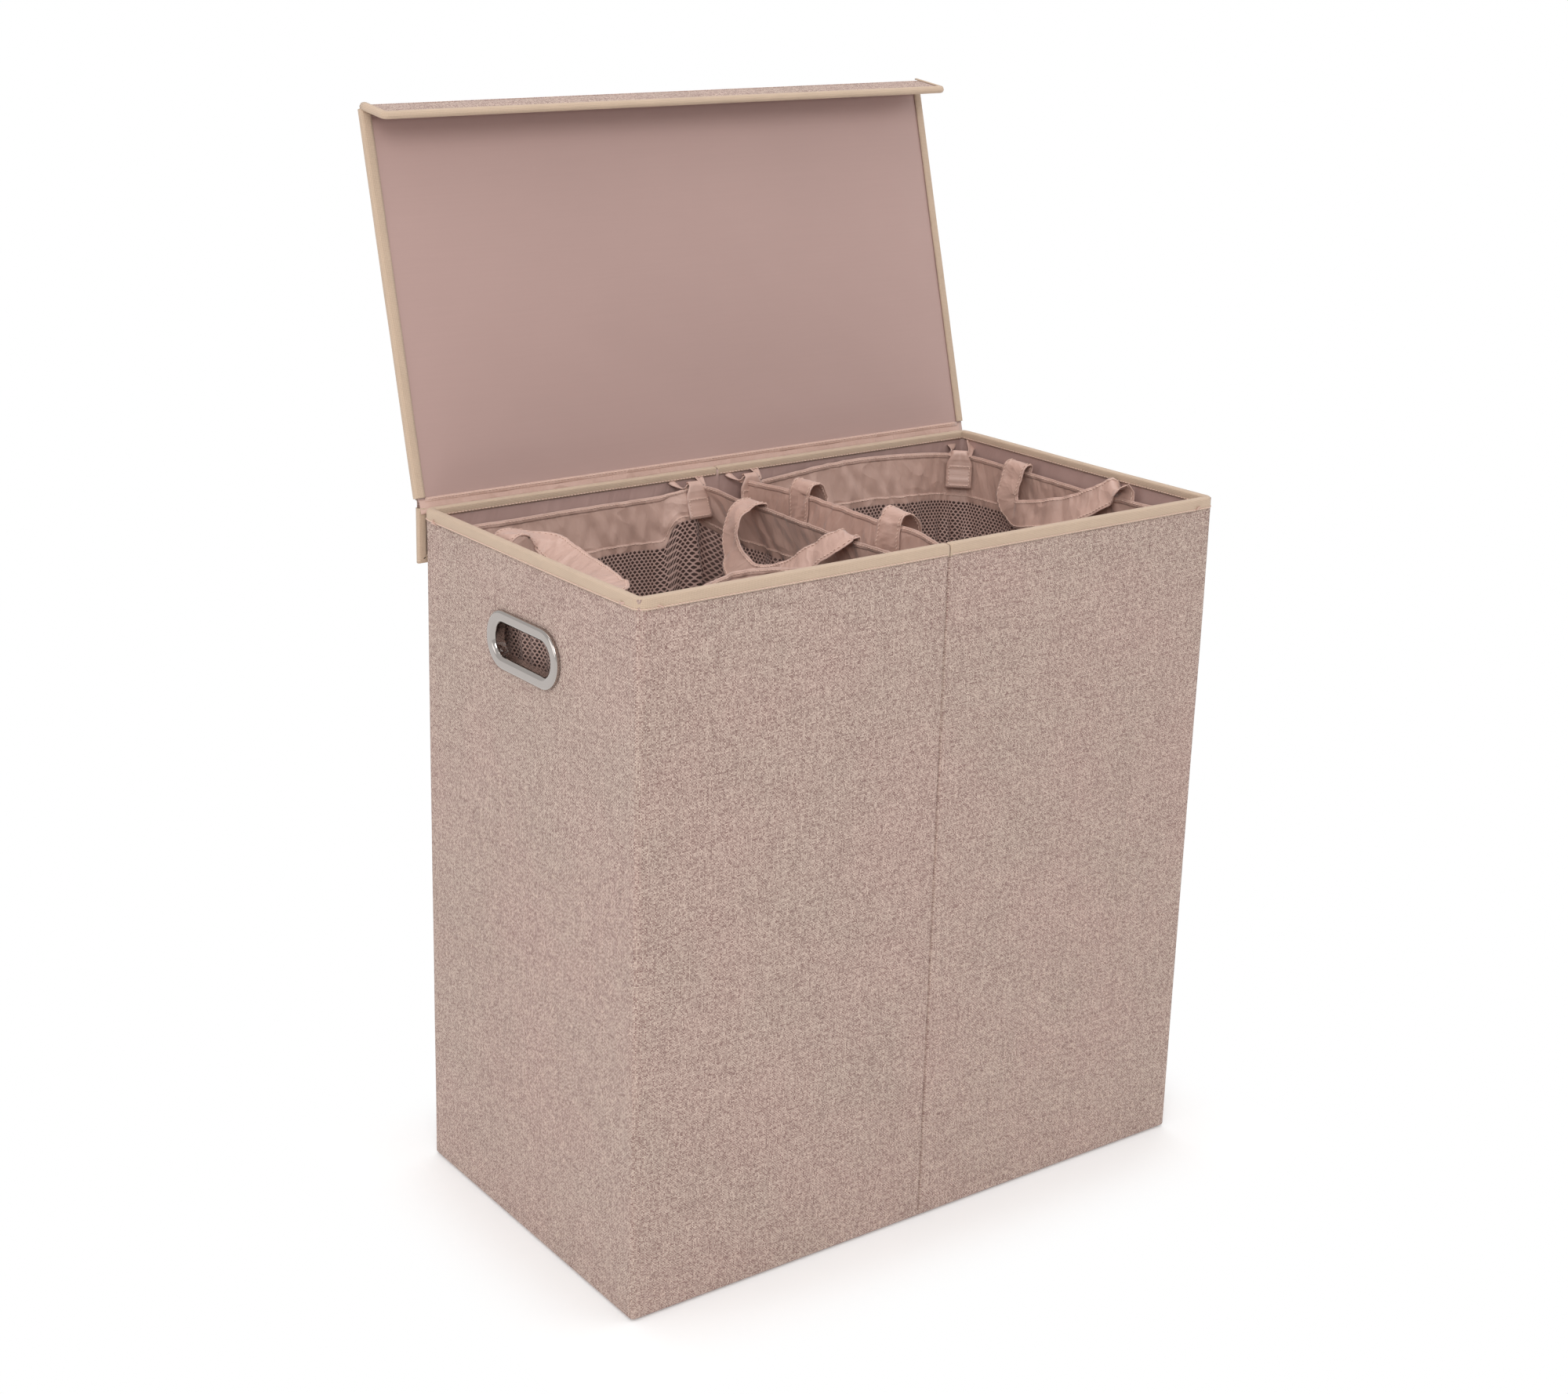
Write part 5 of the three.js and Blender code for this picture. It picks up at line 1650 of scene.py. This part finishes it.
def seen_directly(made):
    """1 for the camera's own rays and for those through gloss or glass, in any view."""
    paths = made.node("ShaderNodeLightPath", {}, {}).socket.node
    camera, glossy, clear = (Signal(made, paths.outputs[key]) for key in (
        "Is Camera Ray", "Is Glossy Ray", "Is Transmission Ray"))
    return camera.math("MAXIMUM", glossy.math("MAXIMUM", clear))


def studio_world():
    """Even light from all round, and plain white where the camera sees past the floor."""
    light_on_object, seen_strength = 0.72, 1.0
    world = bpy.data.worlds.new("studio")
    world.use_nodes = True
    bpy.context.scene.world = world
    tree = world.node_tree
    tree.nodes.clear()
    paths = tree.nodes.new("ShaderNodeLightPath")
    both = tree.nodes.new("ShaderNodeMath")
    both.operation = "MAXIMUM"
    tree.links.new(paths.outputs["Is Camera Ray"], both.inputs[0])
    tree.links.new(paths.outputs["Is Transmission Ray"], both.inputs[1])
    strength = tree.nodes.new("ShaderNodeMapRange")
    strength.inputs["To Min"].default_value = light_on_object
    strength.inputs["To Max"].default_value = seen_strength
    tree.links.new(both.outputs[0], strength.inputs["Value"])
    background = tree.nodes.new("ShaderNodeBackground")
    background.inputs["Color"].default_value = (1, 1, 1, 1)
    tree.links.new(strength.outputs[0], background.inputs["Strength"])
    output = tree.nodes.new("ShaderNodeOutputWorld")
    tree.links.new(background.outputs[0], output.inputs["Surface"])


def studio_floor():
    """A white floor that keeps the soft shadow at the hamper's foot and turns plain white further out."""
    half_size, under_foot = 9, -0.0006
    shadow_start, shadow_end = 0.015, 0.11
    mesh = bmesh.new()
    bmesh.ops.create_grid(mesh, x_segments=24, y_segments=24, size=half_size)
    for vertex in mesh.verts:
        vertex.co.z = under_foot
    made = Finish("studio_floor")
    x, y, _ = made.parts(made.object_place())
    away = (abs(x) - cover_high.x * MM).math("MAXIMUM", abs(y) - cover_high.y * MM)
    plain = made.smooth(away, shadow_start, shadow_end)
    white = made.node("ShaderNodeEmission", {}, {"Color": (1, 1, 1, 1), "Strength": 1.0})
    made.surface(Base_Color=(0.9, 0.9, 0.9, 1), Roughness=0.9, Specular_IOR_Level=0.1,
                 Emission_Color=(1, 1, 1, 1), Emission_Strength=0.12)
    join = made.node("ShaderNodeMixShader", {}, {0: seen_directly(made) * plain}).socket.node
    made.tree.links.new(made.shader.outputs[0], join.inputs[1])
    made.tree.links.new(white.socket, join.inputs[2])
    output = next(n for n in made.tree.nodes if n.type == "OUTPUT_MATERIAL")
    made.tree.links.new(join.outputs[0], output.inputs["Surface"])
    finishes["floor"] = made.material
    new_object("floor", mesh, "floor")


# Operators


class HAMPER_OT_box(bpy.types.Operator):
    """Outer cloth, lining and base cloth of the box"""
    bl_idname = "hamper.box"
    bl_label = "Box cloths"

    def execute(self, context):
        outer_cover()
        box_lining()
        base_sheet()
        return {"FINISHED"}


class HAMPER_OT_rim(bpy.types.Operator):
    """Tape over the rim of the box, in two halves"""
    bl_idname = "hamper.rim"
    bl_label = "Rim tape"

    def execute(self, context):
        rim_tape(-1, "left")
        rim_tape(1, "right")
        return {"FINISHED"}


class HAMPER_OT_lid(bpy.types.Operator):
    """Lid and lip with their cloths, hem and tapes"""
    bl_idname = "hamper.lid"
    bl_label = "Lid and lip"

    def execute(self, context):
        lid_sheets()
        lid_tapes()
        lip_sheets()
        lip_tape()
        return {"FINISHED"}


class HAMPER_OT_hinge(bpy.types.Operator):
    """Strip on the back wall and the cloth that crosses both folds"""
    bl_idname = "hamper.hinge"
    bl_label = "Hinge strip and folds"

    def execute(self, context):
        hinge_strip()
        hinge_cloths()
        fold_cloths()
        return {"FINISHED"}


class HAMPER_OT_grips(bpy.types.Operator):
    """Two oval metal grips with their inner rings"""
    bl_idname = "hamper.grips"
    bl_label = "Grips"

    def execute(self, context):
        grips()
        return {"FINISHED"}


class HAMPER_OT_bags(bpy.types.Operator):
    """Bands and nets of the two bags"""
    bl_idname = "hamper.bags"
    bl_label = "Bags"

    def execute(self, context):
        for name in ("left", "right"):
            bag_band(name)
            bag_net(name)
        return {"FINISHED"}


class HAMPER_OT_straps(bpy.types.Operator):
    """Four limp carrying straps"""
    bl_idname = "hamper.straps"
    bl_label = "Straps"

    def execute(self, context):
        straps()
        return {"FINISHED"}


class HAMPER_OT_tabs(bpy.types.Operator):
    """Eight tabs and the ribbon loops that they close on"""
    bl_idname = "hamper.tabs"
    bl_label = "Tabs and ribbons"

    def execute(self, context):
        tabs()
        return {"FINISHED"}


class HAMPER_OT_inner_parts(bpy.types.Operator):
    """Finishes of the boards and tapes that stay as the CAD has them"""
    bl_idname = "hamper.inner_parts"
    bl_label = "Boards and fasteners"

    def execute(self, context):
        for name, node in frame["nodes"].items():
            if "board" in name:
                material = "board_cloth" if name == "base_board" else "board"
            elif name in ("hook_tape", "loop_tape"):
                material = "fastener"
            else:
                continue
            node.data.materials.clear()
            node.data.materials.append(finish(material))
        return {"FINISHED"}


class HAMPER_OT_stage(bpy.types.Operator):
    """Camera, lamps, world and floor"""
    bl_idname = "hamper.stage"
    bl_label = "Studio"

    def execute(self, context):
        studio_camera()
        studio_lamps()
        studio_world()
        studio_floor()
        return {"FINISHED"}


class HAMPER_PT_panel(bpy.types.Panel):
    """Sizes, colours and the pieces' operators"""
    bl_idname = "HAMPER_PT_panel"
    bl_label = "Hamper"
    bl_space_type = "VIEW_3D"
    bl_region_type = "UI"
    bl_category = "Hamper"

    def draw(self, context):
        for group in (sizes(), colours()):
            for key in group.bl_rna.properties.keys():
                if key not in ("rna_type", "name"):
                    self.layout.prop(group, key)
        for operator in operators:
            self.layout.operator(operator.bl_idname)


operators = (
    HAMPER_OT_stage, HAMPER_OT_box, HAMPER_OT_rim, HAMPER_OT_lid, HAMPER_OT_hinge, HAMPER_OT_grips,
    HAMPER_OT_bags, HAMPER_OT_straps, HAMPER_OT_tabs, HAMPER_OT_inner_parts,
)
classes = (HamperSizes, HamperColours, *operators, HAMPER_PT_panel)


def register():
    for each in classes:
        bpy.utils.register_class(each)
    bpy.types.Scene.hamper_sizes = PointerProperty(type=HamperSizes)
    bpy.types.Scene.hamper_colours = PointerProperty(type=HamperColours)


def unregister():
    del bpy.types.Scene.hamper_colours
    del bpy.types.Scene.hamper_sizes
    for each in reversed(classes):
        bpy.utils.unregister_class(each)


def main():
    register()
    bpy.context.scene.view_settings.view_transform = "Standard"
    for operator in operators:
        group, action = operator.bl_idname.split(".")
        getattr(getattr(bpy.ops, group), action)()


if __name__ == "__main__":
    main()
